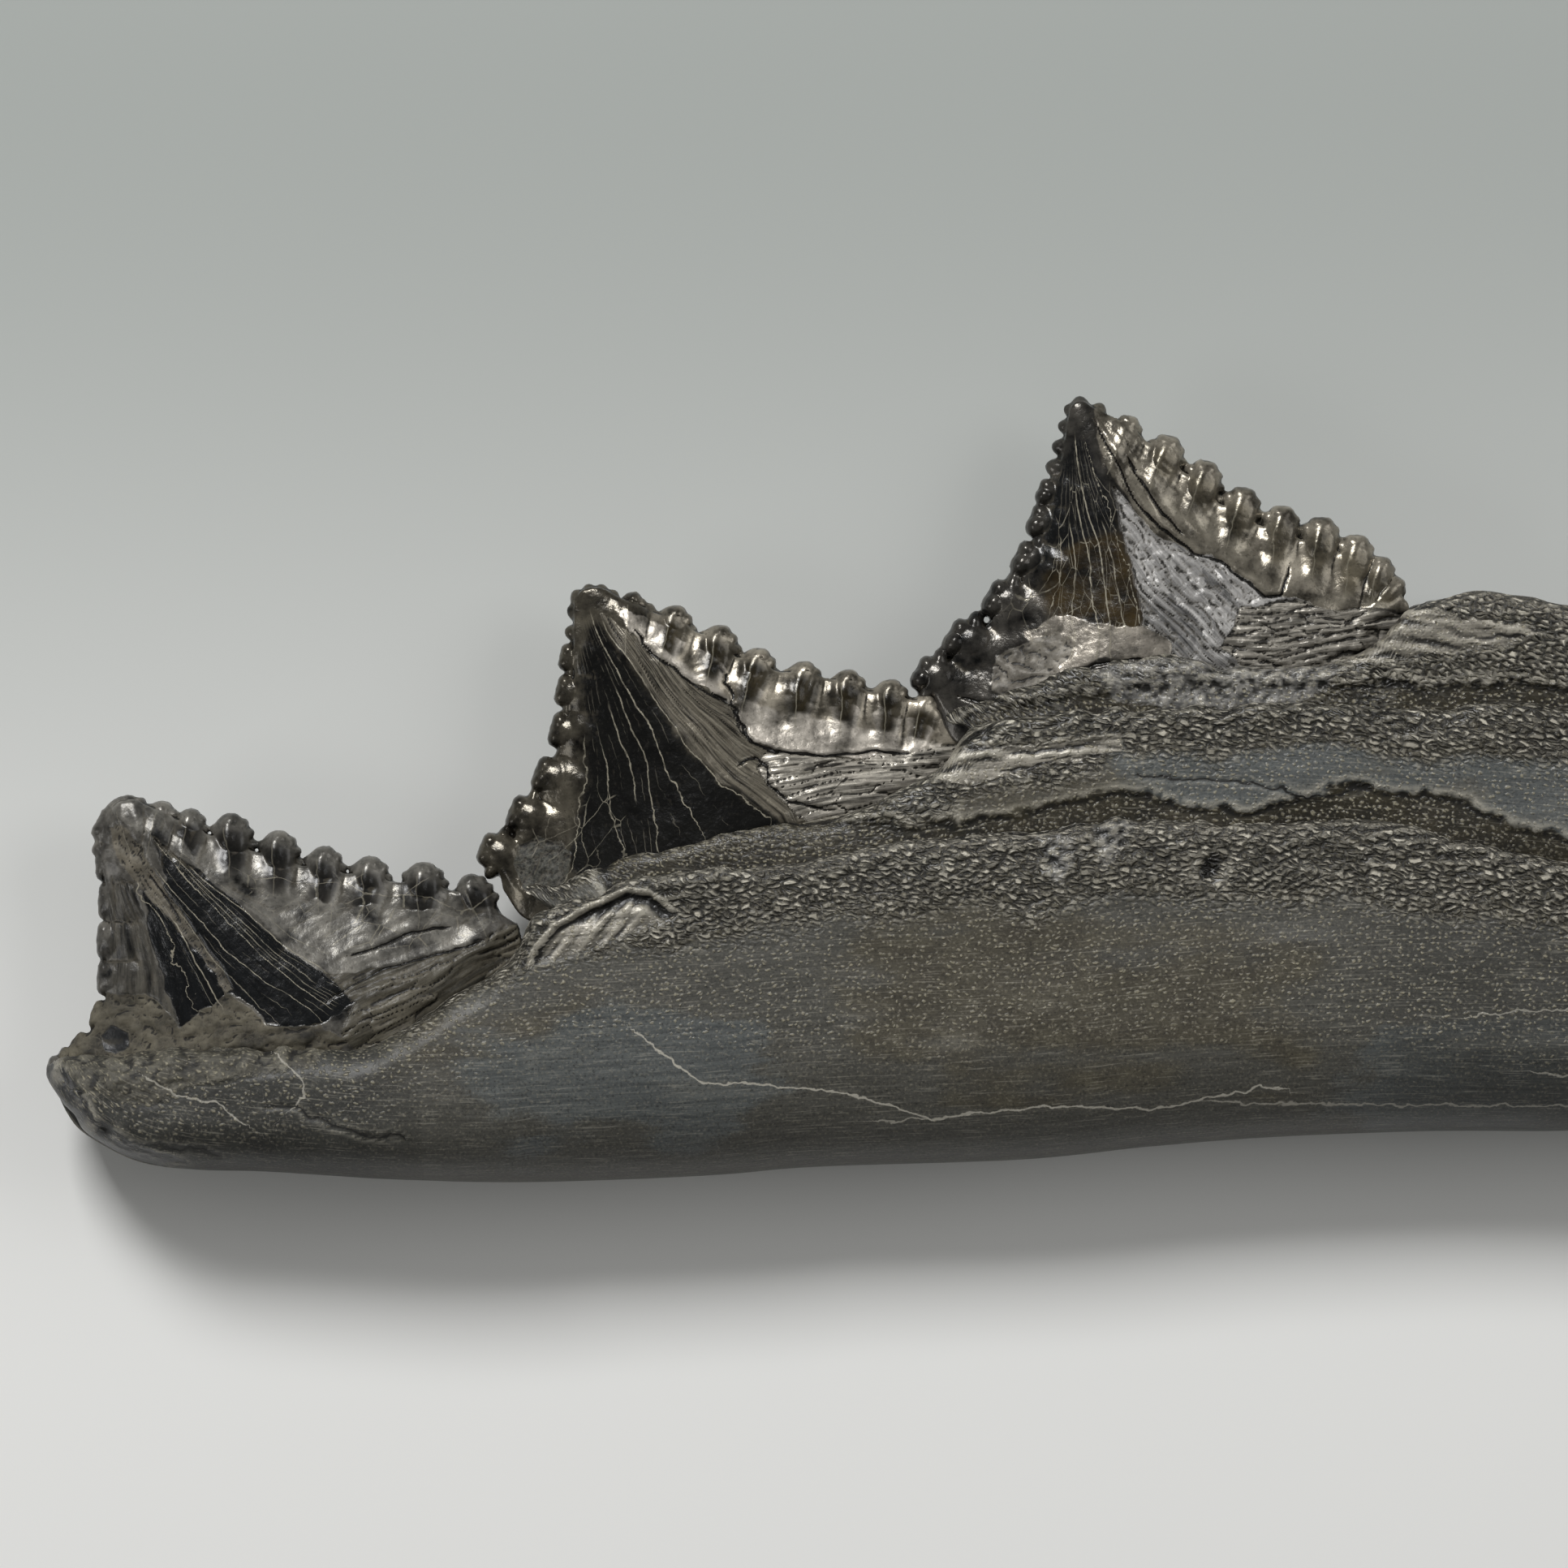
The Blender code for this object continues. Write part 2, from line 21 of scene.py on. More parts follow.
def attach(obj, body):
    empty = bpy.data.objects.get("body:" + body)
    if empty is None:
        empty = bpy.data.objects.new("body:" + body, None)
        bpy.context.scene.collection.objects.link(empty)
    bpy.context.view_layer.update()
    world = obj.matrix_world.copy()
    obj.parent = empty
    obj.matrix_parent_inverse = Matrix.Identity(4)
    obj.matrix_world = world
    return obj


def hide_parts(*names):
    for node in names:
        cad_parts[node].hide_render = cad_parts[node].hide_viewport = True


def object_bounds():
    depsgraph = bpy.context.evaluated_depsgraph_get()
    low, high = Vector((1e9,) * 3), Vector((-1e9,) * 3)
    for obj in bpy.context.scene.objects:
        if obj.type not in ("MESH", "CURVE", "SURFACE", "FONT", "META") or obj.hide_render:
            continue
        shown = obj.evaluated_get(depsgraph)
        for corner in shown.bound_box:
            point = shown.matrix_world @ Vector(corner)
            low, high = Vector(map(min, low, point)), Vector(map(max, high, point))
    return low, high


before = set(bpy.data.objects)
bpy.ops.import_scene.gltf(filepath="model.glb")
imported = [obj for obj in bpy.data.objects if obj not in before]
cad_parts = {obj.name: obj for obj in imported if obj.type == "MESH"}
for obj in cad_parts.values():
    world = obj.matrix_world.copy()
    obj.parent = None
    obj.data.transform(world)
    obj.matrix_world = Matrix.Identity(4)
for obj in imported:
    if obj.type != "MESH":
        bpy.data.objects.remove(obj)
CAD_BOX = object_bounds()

MM = 0.001
CENTRE = (23.65, -0.4)
MIDDLE_PLANE = 7.4

# A distance in millimetres at which no line shows any more.
FAR = 9.0
# Shifts in millimetres that give the backs other noise than the fronts.
CROWN_BACK_SHIFT = 40.0
CROWN_BACK_LAY = 50.0
ROOT_BACK_SHIFT = 300.0
# A shorter lobe stands at the tip, and one that points further round than this on the left edge.
SMALL_LOBE = 2.0
LEFT_HEADING = 120.0

Array = np.ndarray
Mesh = bpy.types.Mesh
Node = bpy.types.Node
Socket = bpy.types.NodeSocket
Tree = bpy.types.NodeTree
Point = tuple[float, float]
Line = tuple[Point, ...]
LOG = logging.getLogger("fossil_jaw")


def drawn(text: str) -> Line:
    """Reads rows of numbers, with spaces between rows and commas between a row's numbers."""
    return tuple(tuple(float(number) for number in row.split(",")) for row in text.split())


def linear(colour: str) -> tuple[float, float, float, float]:
    """Turns an sRGB hex colour into linear red, green and blue, and an alpha of 1."""
    parts = [int(colour[k : k + 2], 16) / 255.0 for k in (1, 3, 5)]
    return (*[p / 12.92 if p <= 0.04045 else ((p + 0.055) / 1.055) ** 2.4 for p in parts], 1.0)


def eased(values: Array, low: float, high: float) -> Array:
    """Rises smoothly from 0 at low to 1 at high; where high is under low, it falls."""
    part = np.clip((values - low) / (high - low), 0.0, 1.0)
    return part * part * (3.0 - 2.0 * part)


def lattice(cells: Array, seed: int) -> Array:
    """Gives each whole-numbered cell its own fixed number from 0 to 1.

    Args:
        cells: cell numbers, the last axis being their coordinates.
        seed: another seed gives other numbers.

    Returns:
        One number for each cell.
    """
    primes = np.array([73856093, 19349663, 83492791][: cells.shape[-1]])
    mixed = (cells.astype(np.int64) @ primes + seed * 974634777) & 0xFFFFFFFF
    for shift, factor in ((15, 2246822519), (13, 3266489917)):
        mixed = ((mixed ^ (mixed >> shift)) * factor) & 0xFFFFFFFF
    return (mixed ^ (mixed >> 16)) / 2.0**32


def swell(spots: Array, size: float | tuple[float, ...], seed: int = 0) -> Array:
    """Smooth noise with swellings of about one size.

    Args:
        spots: points in millimetres, in two or three dimensions.
        size: width of a swelling in millimetres, or one width for each axis.
        seed: another seed gives another pattern.

    Returns:
        Numbers from -1 to 1.
    """
    scaled = spots / np.asarray(size, float)
    base = np.floor(scaled)
    part = scaled - base
    part = part * part * (3.0 - 2.0 * part)
    total = np.zeros(len(spots))
    for corner in itertools.product((0, 1), repeat=spots.shape[1]):
        weight = np.prod(np.where(np.array(corner) == 1, part, 1.0 - part), axis=1)
        total += weight * lattice(base + corner, seed)
    return 2.0 * total - 1.0


def rough(spots: Array, size: float | tuple[float, ...], seed: int = 0, octaves: int = 3) -> Array:
    """Swellings with finer ones on them.

    Args:
        spots: points in millimetres.
        size: width of the largest swellings.
        seed: another seed gives another pattern.
        octaves: how many sizes, each half the last.

    Returns:
        Numbers of about -1 to 1.
    """
    size = np.asarray(size, float)
    parts = [0.5**k * swell(spots, size * 0.5**k, seed + 31 * k) for k in range(octaves)]
    return sum(parts) / (2.0 - 0.5 ** (octaves - 1))


def plates(spots: Array, seed: int) -> tuple[Array, Array, Array]:
    """Irregular cells of about one unit, each round its own random middle.

    Args:
        spots: points in two dimensions, in cells.
        seed: another seed gives other cells.

    Returns:
        The distance to the nearest middle, to the second nearest, and a random number for each cell.
    """
    base = np.floor(spots)
    nearest = np.full(len(spots), FAR)
    second = nearest.copy()
    tone = np.zeros(len(spots))
    for offset in itertools.product((-1, 0, 1), repeat=2):
        cell = base + offset
        middle = cell + np.stack([lattice(cell, seed + k) for k in (0, 1)], axis=1)
        gap = np.linalg.norm(middle - spots, axis=1)
        tone = np.where(gap < nearest, lattice(cell, seed + 2), tone)
        second = np.minimum(second, np.maximum(gap, nearest))
        nearest = np.minimum(nearest, gap)
    return nearest, second, tone


def worms(spots: Array, pitch: float, lean: float, seed: int) -> Array:
    """Winding ridges side by side, as a sum of waves of nearly one length.

    Args:
        spots: points in two dimensions; the ridges run mostly along the first.
        pitch: how far apart the ridges are.
        lean: how much they wind, in radians.
        seed: another seed gives other ridges.

    Returns:
        Numbers of about -1.5 to 1.5, with ridges above 0.
    """
    chance, count = np.random.default_rng(seed), 26
    turns = chance.normal(0.0, lean, count)
    lengths = pitch * chance.uniform(0.75, 1.3, count)
    phases = chance.uniform(0, 2 * np.pi, count)
    total = np.zeros(len(spots))
    for turn, length, phase in zip(turns, lengths, phases):
        across = spots[:, 0] * np.sin(turn) + spots[:, 1] * np.cos(turn)
        total += np.cos(2 * np.pi * across / length + phase)
    return total / math.sqrt(count / 2.0)


def drift(spots: Array, sizes: tuple[float | tuple[float, ...], ...], seed: int) -> Array:
    """Rows of two rough numbers, one for each size, that move places about in the side view."""
    return np.column_stack([rough(spots, size, seed + k) for k, size in enumerate(sizes)])


def turned(spots: Array, degrees: float) -> Array:
    """Measures spots along and across a direction in the side view."""
    cos, sin = math.cos(math.radians(degrees)), math.sin(math.radians(degrees))
    return np.column_stack([spots @ (cos, sin), spots @ (-sin, cos)])


def curved(points: Line, steps: int = 10) -> Array:
    """A smooth curve through drawn points.

    Args:
        points: the points in order.
        steps: points made for each stretch.

    Returns:
        The curve's points, one row each.
    """
    fixed = np.array(points, float)
    fixed = np.vstack([2 * fixed[0] - fixed[1], fixed, 2 * fixed[-1] - fixed[-2]])
    t = np.linspace(0.0, 1.0, steps, endpoint=False)[:, None]
    parts = []
    for a, b, c, d in zip(fixed, fixed[1:], fixed[2:], fixed[3:]):
        bend = (2 * a - 5 * b + 4 * c - d) * t**2 + (3 * b - a - 3 * c + d) * t**3
        parts.append(0.5 * (2 * b + (c - a) * t + bend))
    return np.vstack([*parts, fixed[-2:-1]])


def read_curve(points: Line, x: Array) -> Array:
    """Reads a smooth curve, drawn as (x, value) points, at each X."""
    line = curved(points)
    return np.interp(x, line[:, 0], line[:, 1])


def walk(points: Line, part: Array) -> Array:
    """Points at parts, 0 to 1, of a smooth curve's length.

    Args:
        points: the curve's drawn points.
        part: how far along, from 0 to 1.

    Returns:
        One row of x and y for each part.
    """
    line = curved(points)
    reached = np.concatenate([[0.0], np.cumsum(np.linalg.norm(np.diff(line, axis=0), axis=1))])
    reached /= reached[-1]
    return np.stack([np.interp(part, reached, line[:, axis]) for axis in (0, 1)], axis=-1)


def to_line(spots: Array, points: Line, closed: bool = False) -> tuple[Array, Array, Array]:
    """Measures spots against a drawn line.

    Args:
        spots: points in millimetres, in the side view.
        points: the line's corners.
        closed: whether the line goes back to its start.

    Returns:
        The distance to the line, the same with a minus sign on the line's right, and how far along
        its length the nearest place is, from 0 to 1.
    """
    corners = np.array(points, float)
    if closed:
        corners = np.vstack([corners, corners[:1]])
    starts, runs = corners[:-1], np.diff(corners, axis=0)
    lengths = np.linalg.norm(runs, axis=1)
    offset = spots[:, None, :] - starts
    part = np.clip((offset * runs).sum(-1) / lengths**2, 0.0, 1.0)
    gaps = np.linalg.norm(offset - part[..., None] * runs, axis=-1)
    nearest = gaps.argmin(axis=1)
    rows = np.arange(len(spots))
    turn = runs[nearest, 0] * offset[rows, nearest, 1] - runs[nearest, 1] * offset[rows, nearest, 0]
    done = np.concatenate([[0.0], np.cumsum(lengths)])
    along = (done[nearest] + part[rows, nearest] * lengths[nearest]) / done[-1]
    gap = gaps[rows, nearest]
    return gap, np.where(turn < 0, -gap, gap), along


def within(spots: Array, outline: Line, softness: float = 0.4) -> Array:
    """How far spots lie inside a drawn outline.

    Args:
        spots: points in millimetres, in the side view.
        outline: the outline's corners.
        softness: half the width of its soft edge in millimetres.

    Returns:
        0 outside, 1 inside, and 0 everywhere where there is no outline.
    """
    if not outline:
        return np.zeros(len(spots))
    corners = np.array(outline, float)
    x, y = spots[:, :1], spots[:, 1:]
    x1, y1 = corners.T
    x2, y2 = np.roll(corners, -1, axis=0).T
    crosses = (y1 > y) != (y2 > y)
    step = np.where(y2 == y1, 1.0, y2 - y1)
    inside = (crosses & (x < (x2 - x1) * (y - y1) / step + x1)).sum(axis=1) % 2 == 1
    gap = to_line(spots, outline, closed=True)[0]
    return eased(np.where(inside, gap, -gap), -softness, softness)


def placed(points: Array) -> Array:
    """Moves drawn points into the jaw's own frame, in metres and inside the solid model's box."""
    moved = (points - np.array([*CENTRE, 0.0])) * MM
    return np.clip(moved, np.array(CAD_BOX[0]), np.array(CAD_BOX[1]))


def make_mesh(name: str, points: Array, faces: list | Array) -> Mesh:
    """Makes a smooth-shaded mesh.

    Args:
        name: the mesh's name.
        points: one row for each vertex.
        faces: vertex numbers of each face.

    Returns:
        The new mesh.
    """
    mesh = bpy.data.meshes.new(name)
    mesh.from_pydata(np.asarray(points, float).tolist(), [], np.asarray(faces).tolist())
    mesh.validate()
    return mesh


def read_rows(mesh: Mesh, part: str) -> Array:
    """Reads the places of a mesh's vertices, their normals, or the vertex numbers of its edges.

    Args:
        mesh: the mesh.
        part: vertices, vertex_normals or edges.

    Returns:
        One row for each item.
    """
    name, width, kind = {
        "vertices": ("co", 3, float), "vertex_normals": ("vector", 3, float),
        "edges": ("vertices", 2, np.int32),
    }[part]
    items = getattr(mesh, part)
    flat = np.empty(len(items) * width, kind)
    items.foreach_get(name, flat)
    return flat.reshape(-1, width)


def put_points(mesh: Mesh, points: Array) -> None:
    """Moves the vertices of a mesh to new places."""
    mesh.vertices.foreach_set("co", points.astype(np.float32).ravel())
    mesh.update()


def relaxed(points: Array, edges: Array, times: int, share: float = 0.5) -> Array:
    """Draws each vertex towards its neighbours.

    Args:
        points: vertex places or any values, one row each.
        edges: vertex numbers of the edges.
        times: how often.
        share: how far towards the neighbours' mean, each time.

    Returns:
        The relaxed values.
    """
    ends = np.concatenate([edges[:, 0], edges[:, 1]])
    others = np.concatenate([edges[:, 1], edges[:, 0]])
    count = np.maximum(np.bincount(ends, minlength=len(points)), 1)[:, None]
    for _ in range(times):
        sums = np.stack([np.bincount(ends, column[others], len(points)) for column in points.T], axis=1)
        points = points + share * (sums / count - points)
    return points


def evaluated(holder: bpy.types.Object) -> Mesh:
    """Turns an object's modifiers into a plain mesh, and removes the object.

    Args:
        holder: the object, which isn't in the scene yet.

    Returns:
        The new mesh.
    """
    bpy.context.scene.collection.objects.link(holder)
    graph = bpy.context.evaluated_depsgraph_get()
    made = bpy.data.meshes.new_from_object(holder.evaluated_get(graph))
    holder.modifiers.clear()
    bpy.data.objects.remove(holder)
    return made


def store(mesh: Mesh, name: str, values: Array) -> None:
    """Keeps a number or three numbers at each vertex for the finish to read.

    Args:
        mesh: the mesh.
        name: the name that the finish reads.
        values: one number or one row of three for each vertex.
    """
    vector = values.ndim == 2
    attribute = mesh.attributes.new(name, "FLOAT_VECTOR" if vector else "FLOAT", "POINT")
    attribute.data.foreach_set("vector" if vector else "value", values.astype(np.float32).ravel())


def add_piece(name: str, mesh: Mesh, finish: bpy.types.Material, node: str) -> bpy.types.Object:
    """Adds a finished piece that rides on the jaw and stands for one of its solids.

    Args:
        name: the piece's name.
        mesh: its mesh, in metres in the jaw's frame.
        finish: its material.
        node: the solid that it stands for.

    Returns:
        The new object.
    """
    mesh.name = name
    mesh.materials.clear()
    mesh.materials.append(finish)
    mesh.shade_smooth()
    piece = bpy.data.objects.new(name, mesh)
    bpy.context.scene.collection.objects.link(piece)
    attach(piece, "root")
    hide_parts(node)
    LOG.info("%s: %d faces", name, len(mesh.polygons))
    return piece


class Board:
    """A node tree being filled, with the sockets that its parts share."""

    def __init__(self, tree: Tree) -> None:
        """Starts on a tree, whose first nodes go."""
        tree.nodes.clear()
        self.tree = tree
        self.found: dict[str | Texture, Node | Socket] = {}

    def add(self, kind: str, inputs: dict | list | None = None, operation: str = "",
            **settings: object) -> Node:
        """Adds one node, with its settings and links.

        Args:
            kind: the node's type, where a shader node's may leave out ShaderNode.
            inputs: by name, by number or in order: a value, or a socket or node to link.
            operation: what a maths node does.
            settings: its properties by name.

        Returns:
            The new node.
        """
        node = self.tree.nodes.new(kind if "Node" in kind else f"ShaderNode{kind}")
        if operation:
            node.operation = operation
        for name, value in settings.items():
            setattr(node, name, value)
        for name, value in inputs.items() if isinstance(inputs, dict) else enumerate(inputs or ()):
            value = value.outputs[0] if isinstance(value, Node) else value
            if isinstance(value, Socket):
                self.tree.links.new(value, node.inputs[name])
            else:
                node.inputs[name].default_value = value
        return node

    def stored(self, name: str) -> Socket:
        """The vector of a stored attribute, whose node is added once."""
        if name not in self.found:
            self.found[name] = self.add("Attribute", attribute_name=name).outputs["Vector"]
        return self.found[name]

    def channel(self, name: str, number: int) -> Socket:
        """One of a stored attribute's numbers, by its place 0, 1 or 2."""
        key = f"{name} parts"
        if key not in self.found:
            self.found[key] = self.add("SeparateXYZ", [self.stored(name)])
        return self.found[key].outputs[number]

    def cover(self, colour: Socket, tone: str, *shares: Node | Socket | float) -> Socket:
        """Covers a colour with a tone, as far as the product of some shares says.

        Args:
            colour: the colour under it.
            tone: the tone, as a hex colour.
            shares: numbers from 0 to 1.

        Returns:
            The new colour.
        """
        share, *others = shares
        for other in others:
            share = self.add("Math", [share, other], "MULTIPLY")
        return self.add("Mix", {0: share, 6: colour, 7: linear(tone)}, data_type="RGBA").outputs[2]

    def crack(self, colour: Socket, gap: Node | Socket, strength: Node | float, width: float,
              tone: str) -> Socket:
        """Draws a filled crack, its width in millimetres, where a distance is near 0."""
        return self.cover(colour, tone, self.add("MapRange", [gap, 0.85 * width, 0.35 * width]), strength)


class Texture(Enum):
    """Which pattern carries a layer's two colours."""

    MOTTLE = "mottle"
    STREAK = "streak"
    FINE = "fine"
    GLINT = "glint"
    LEAF = "leaf"


@dataclass(frozen=True)
class Layer:
    """One kind of surface in a finish, laid where a stored number is near 1."""

    attribute: str
    channel: int
    dark: str
    light: str
    roughness: float
    metallic: float = 0.0
    bump: float = 0.02
    ragged: float = 0.25
    blend: float = 0.20
    texture: Texture = Texture.MOTTLE


@dataclass(frozen=True)
class Grain:
    """Sizes of the patterns in a finish, in millimetres.

    The real fibres and pores are some hundredths of a millimetre wide. `fine` and `streak_width` are
    drawn five to ten times as coarse, so that they still show in the render.
    """

    mottle: float = 2.4
    fine: float = 0.28
    glint: float = 0.8
    streak_width: float = 0.35
    streak_length: float = 5.0


@dataclass(frozen=True)
class FossilFinish:
    """Mineralised tooth tissue, worn and polished by nature: layers over a base, with cracks on top.

    To the eye it is dark and stone-like, with a dull gleam on what stands proud, dusty hollows and
    painted shade in the deepest ones.
    """

    name: str
    base: Layer
    layers: tuple[Layer, ...]
    grain: Grain = field(default_factory=Grain)
    # Colours laid by the stored relief: the first in shallow hollows, pale and dusty on the crowns but near
    # black, painted shade, on the roots; the second also for dark specks and cracks, and as painted shade in
    # deep hollows.
    dust_and_shade: str = "#5d574b"
    crevice: str = "#0b0a08"
    fleck: str = "#8d877a"
    flecks: Point = (0.4, 0.03)
    specular: float = 0.28
    micro: float = 0.02

    def build(self) -> bpy.types.Material:
        """Builds the material, from its patterns to its shader.

        Returns:
            The new material.
        """
        material = bpy.data.materials.new(self.name)
        material.use_nodes = True
        board = Board(material.node_tree)
        self.add_patterns(board)
        colour, roughness, metallic, height = self.lay(board)
        colour, height = self.mark(board, colour, height)
        for pattern, rise in ((Texture.FINE, self.micro), (Texture.GLINT, 1.6 * self.micro)):
            height = board.add("Math", [board.found[pattern], rise, height], "MULTIPLY_ADD")
        bump = board.add("Bump", {"Strength": 1.0, "Distance": MM, "Height": height})
        shader = board.add("BsdfPrincipled", {
            "Base Color": colour, "Roughness": roughness, "Metallic": metallic, "Normal": bump,
            "Specular IOR Level": self.specular,
        })
        board.add("OutputMaterial", {"Surface": shader})
        return material

    def add_patterns(self, board: Board) -> None:
        """Adds the patterns that the layers share, which the board keeps by texture.

        Args:
            board: the material's board.
        """
        found, grain = board.found, self.grain
        position = board.add("TexCoord").outputs["Object"]
        found["place"] = board.add("VectorMath", {0: position, "Scale": 1.0 / MM}, "SCALE")
        for texture, size, detail in (
            (Texture.MOTTLE, grain.mottle, 4.0), (Texture.FINE, grain.fine, 2.0),
            (Texture.GLINT, grain.glint, 1.0),
        ):
            found[texture] = board.add("TexNoise", {
                "Vector": found["place"], "Scale": 1.0 / size, "Detail": detail, "Roughness": 0.6,
            })
        stretched = board.add("Mapping", {
            "Vector": board.stored("lay"),
            "Scale": (1.0 / grain.streak_length, 1.0 / grain.streak_width, 1.0 / grain.streak_width),
        }, vector_type="POINT")
        streak = board.add("TexNoise", {"Vector": stretched, "Scale": 1.0, "Detail": 3.0, "Roughness": 0.6})
        found[Texture.STREAK] = streak
        found[Texture.LEAF] = board.add("Mix", {0: 0.5, 2: streak, 3: board.channel("spots", 2)})

    def lay(self, board: Board) -> tuple[Socket, Node | Socket, Node | Socket, Node]:
        """Lays the layers over the base.

        Args:
            board: the material's board, with its patterns.

        Returns:
            Colour, roughness, metallic and height in millimetres.
        """
        colour = roughness = metallic = height = None
        for layer in (self.base, *self.layers):
            pattern = board.found[layer.texture]
            contrast = board.add("MapRange", [pattern, 0.32, 0.68])
            tones = {0: contrast, 6: linear(layer.dark), 7: linear(layer.light)}
            tint = board.add("Mix", tones, data_type="RGBA").outputs[2]
            rise = board.add("Math", [pattern, layer.bump], "MULTIPLY")
            if layer is self.base:
                colour, height = tint, rise
                roughness, metallic = (board.add("Value").outputs[0] for _ in range(2))
                roughness.default_value, metallic.default_value = layer.roughness, layer.metallic
                continue
            worn = board.channel(layer.attribute, layer.channel)
            for edge in (Texture.FINE, Texture.MOTTLE):
                worn = board.add("Math", [board.found[edge], layer.ragged, worn], "MULTIPLY_ADD")
            share = board.add("MapRange", [
                worn, 0.5 - layer.blend + layer.ragged, 0.5 + layer.blend + layer.ragged,
            ], interpolation_type="SMOOTHSTEP")
            colour = board.add("Mix", {0: share, 6: colour, 7: tint}, data_type="RGBA").outputs[2]
            roughness, metallic, height = (
                board.add("Mix", {0: share, 2: under, 3: over})
                for under, over in ((roughness, layer.roughness), (metallic, layer.metallic), (height, rise))
            )
        return colour, roughness, metallic, height

    def mark(self, board: Board, colour: Socket, height: Node) -> tuple[Socket, Node]:
        """Adds specks, dusty hollows and painted shade in deep ones. Each kind of finish has its own.

        Args:
            board: the material's board, with its patterns.
            colour: the layers' colour.
            height: the layers' height in millimetres.

        Returns:
            The new colour and height.
        """
        relief, fine = board.channel("shape", 0), board.found[Texture.FINE]
        # Dark and pale specks; then, by the stored relief, a dusty colour in shallow hollows and painted
        # shade in deep ones.
        for pattern, tone, low, high, share in (
            (fine, self.crevice, 0.44, 0.28, self.flecks[0]), (fine, self.fleck, 0.58, 0.74, self.flecks[1]),
            (relief, self.dust_and_shade, -0.10, -0.45, 0.35), (relief, self.crevice, -0.35, -1.0, 0.90),
        ):
            colour = board.cover(colour, tone, board.add("MapRange", [pattern, low, high, 0.0, share]))
        return colour, height


@dataclass(frozen=True)
class CrownFinish(FossilFinish):
    """Enameloid, polished by nature, with pale mineral in its cracks and worn off to dentine in places.

    To the eye it is glossy and near black or brown, with a fan of hair-thin pale lines.
    """

    vein: str = "#837e70"
    vein_width: float = 0.078
    net_size: float = 0.9
    net_width: float = 0.020
    net_strength: float = 0.55
    hair_strength: float = 0.30
    split_strength: float = 0.5
    split_width: float = 0.08
    fissure_width: float = 0.17
    specular: float = 0.30
    micro: float = 0.022

    def mark(self, board: Board, colour: Socket, height: Node) -> tuple[Socket, Node]:
        """Adds dust in the hollows, the fan of pale veins, their cross links and the open fissures.

        Args:
            board: the material's board, with its patterns.
            colour: the layers' colour.
            height: the layers' height in millimetres.

        Returns:
            The new colour and height.
        """
        colour, height = super().mark(board, colour, height)
        found, bent = board.found, -0.335
        for scale, detail, reach in ((0.30, 2.0, 0.55), (1.5, 4.0, 0.20)):
            wobble = board.add("TexNoise", {"Vector": found["place"], "Scale": scale, "Detail": detail})
            bent = board.add("Math", [wobble, reach, bent], "MULTIPLY_ADD")
        fan = board.add("Math", [bent, board.channel("fan", 0)], "ADD")
        broken = board.add("MapRange", [found[Texture.GLINT], 0.36, 0.52, 0.35, 1.0])
        whole = board.add("Math", [broken, board.channel("fan", 2)], "MULTIPLY")
        patchy = board.add("MapRange", [found[Texture.MOTTLE], 0.46, 0.60, 0.0, self.hair_strength])
        partial = board.add("Math", [patchy, board.channel("zones", 0)], "MULTIPLY")
        for parts, strength, width in ((1.0, whole, self.vein_width), (2.0, partial, 0.6 * self.vein_width)):
            finer = board.add("Math", [fan, parts], "MULTIPLY")
            off = board.add("Math", [finer, 0.5], "PINGPONG")
            band = board.add("Math", [board.channel("fan", 1), 1.0 / parts], "MULTIPLY")
            gap = board.add("Math", [off, band], "MULTIPLY")
            colour = board.crack(colour, gap, strength, width, self.vein)
        shifts = [wobble.outputs["Color"], (0.25, 0.25, 0.0), board.stored("lay")]
        moved = board.add("VectorMath", shifts, "MULTIPLY_ADD")
        cells = board.add("Mapping", {"Vector": moved, "Scale": (0.30, 0.62, 0.62)}, vector_type="POINT")
        net = board.add("TexVoronoi", {
            "Vector": cells, "Scale": 1.0 / self.net_size, "Randomness": 1.0,
        }, feature="DISTANCE_TO_EDGE")
        reach = board.add("Math", [board.channel("shape", 2), self.net_strength], "MULTIPLY")
        reach = board.add("Math", [reach, broken], "MULTIPLY")
        colour = board.crack(colour, net, reach, self.net_width, self.vein)
        split = board.add("Math", [board.channel("ribs", 2), bent], "ADD")
        split = board.add("Math", [split], "ABSOLUTE")
        colour = board.crack(colour, split, self.split_strength, self.split_width, self.vein)
        return board.crack(colour, board.channel("shape", 1), 0.95, self.fissure_width, self.crevice), height


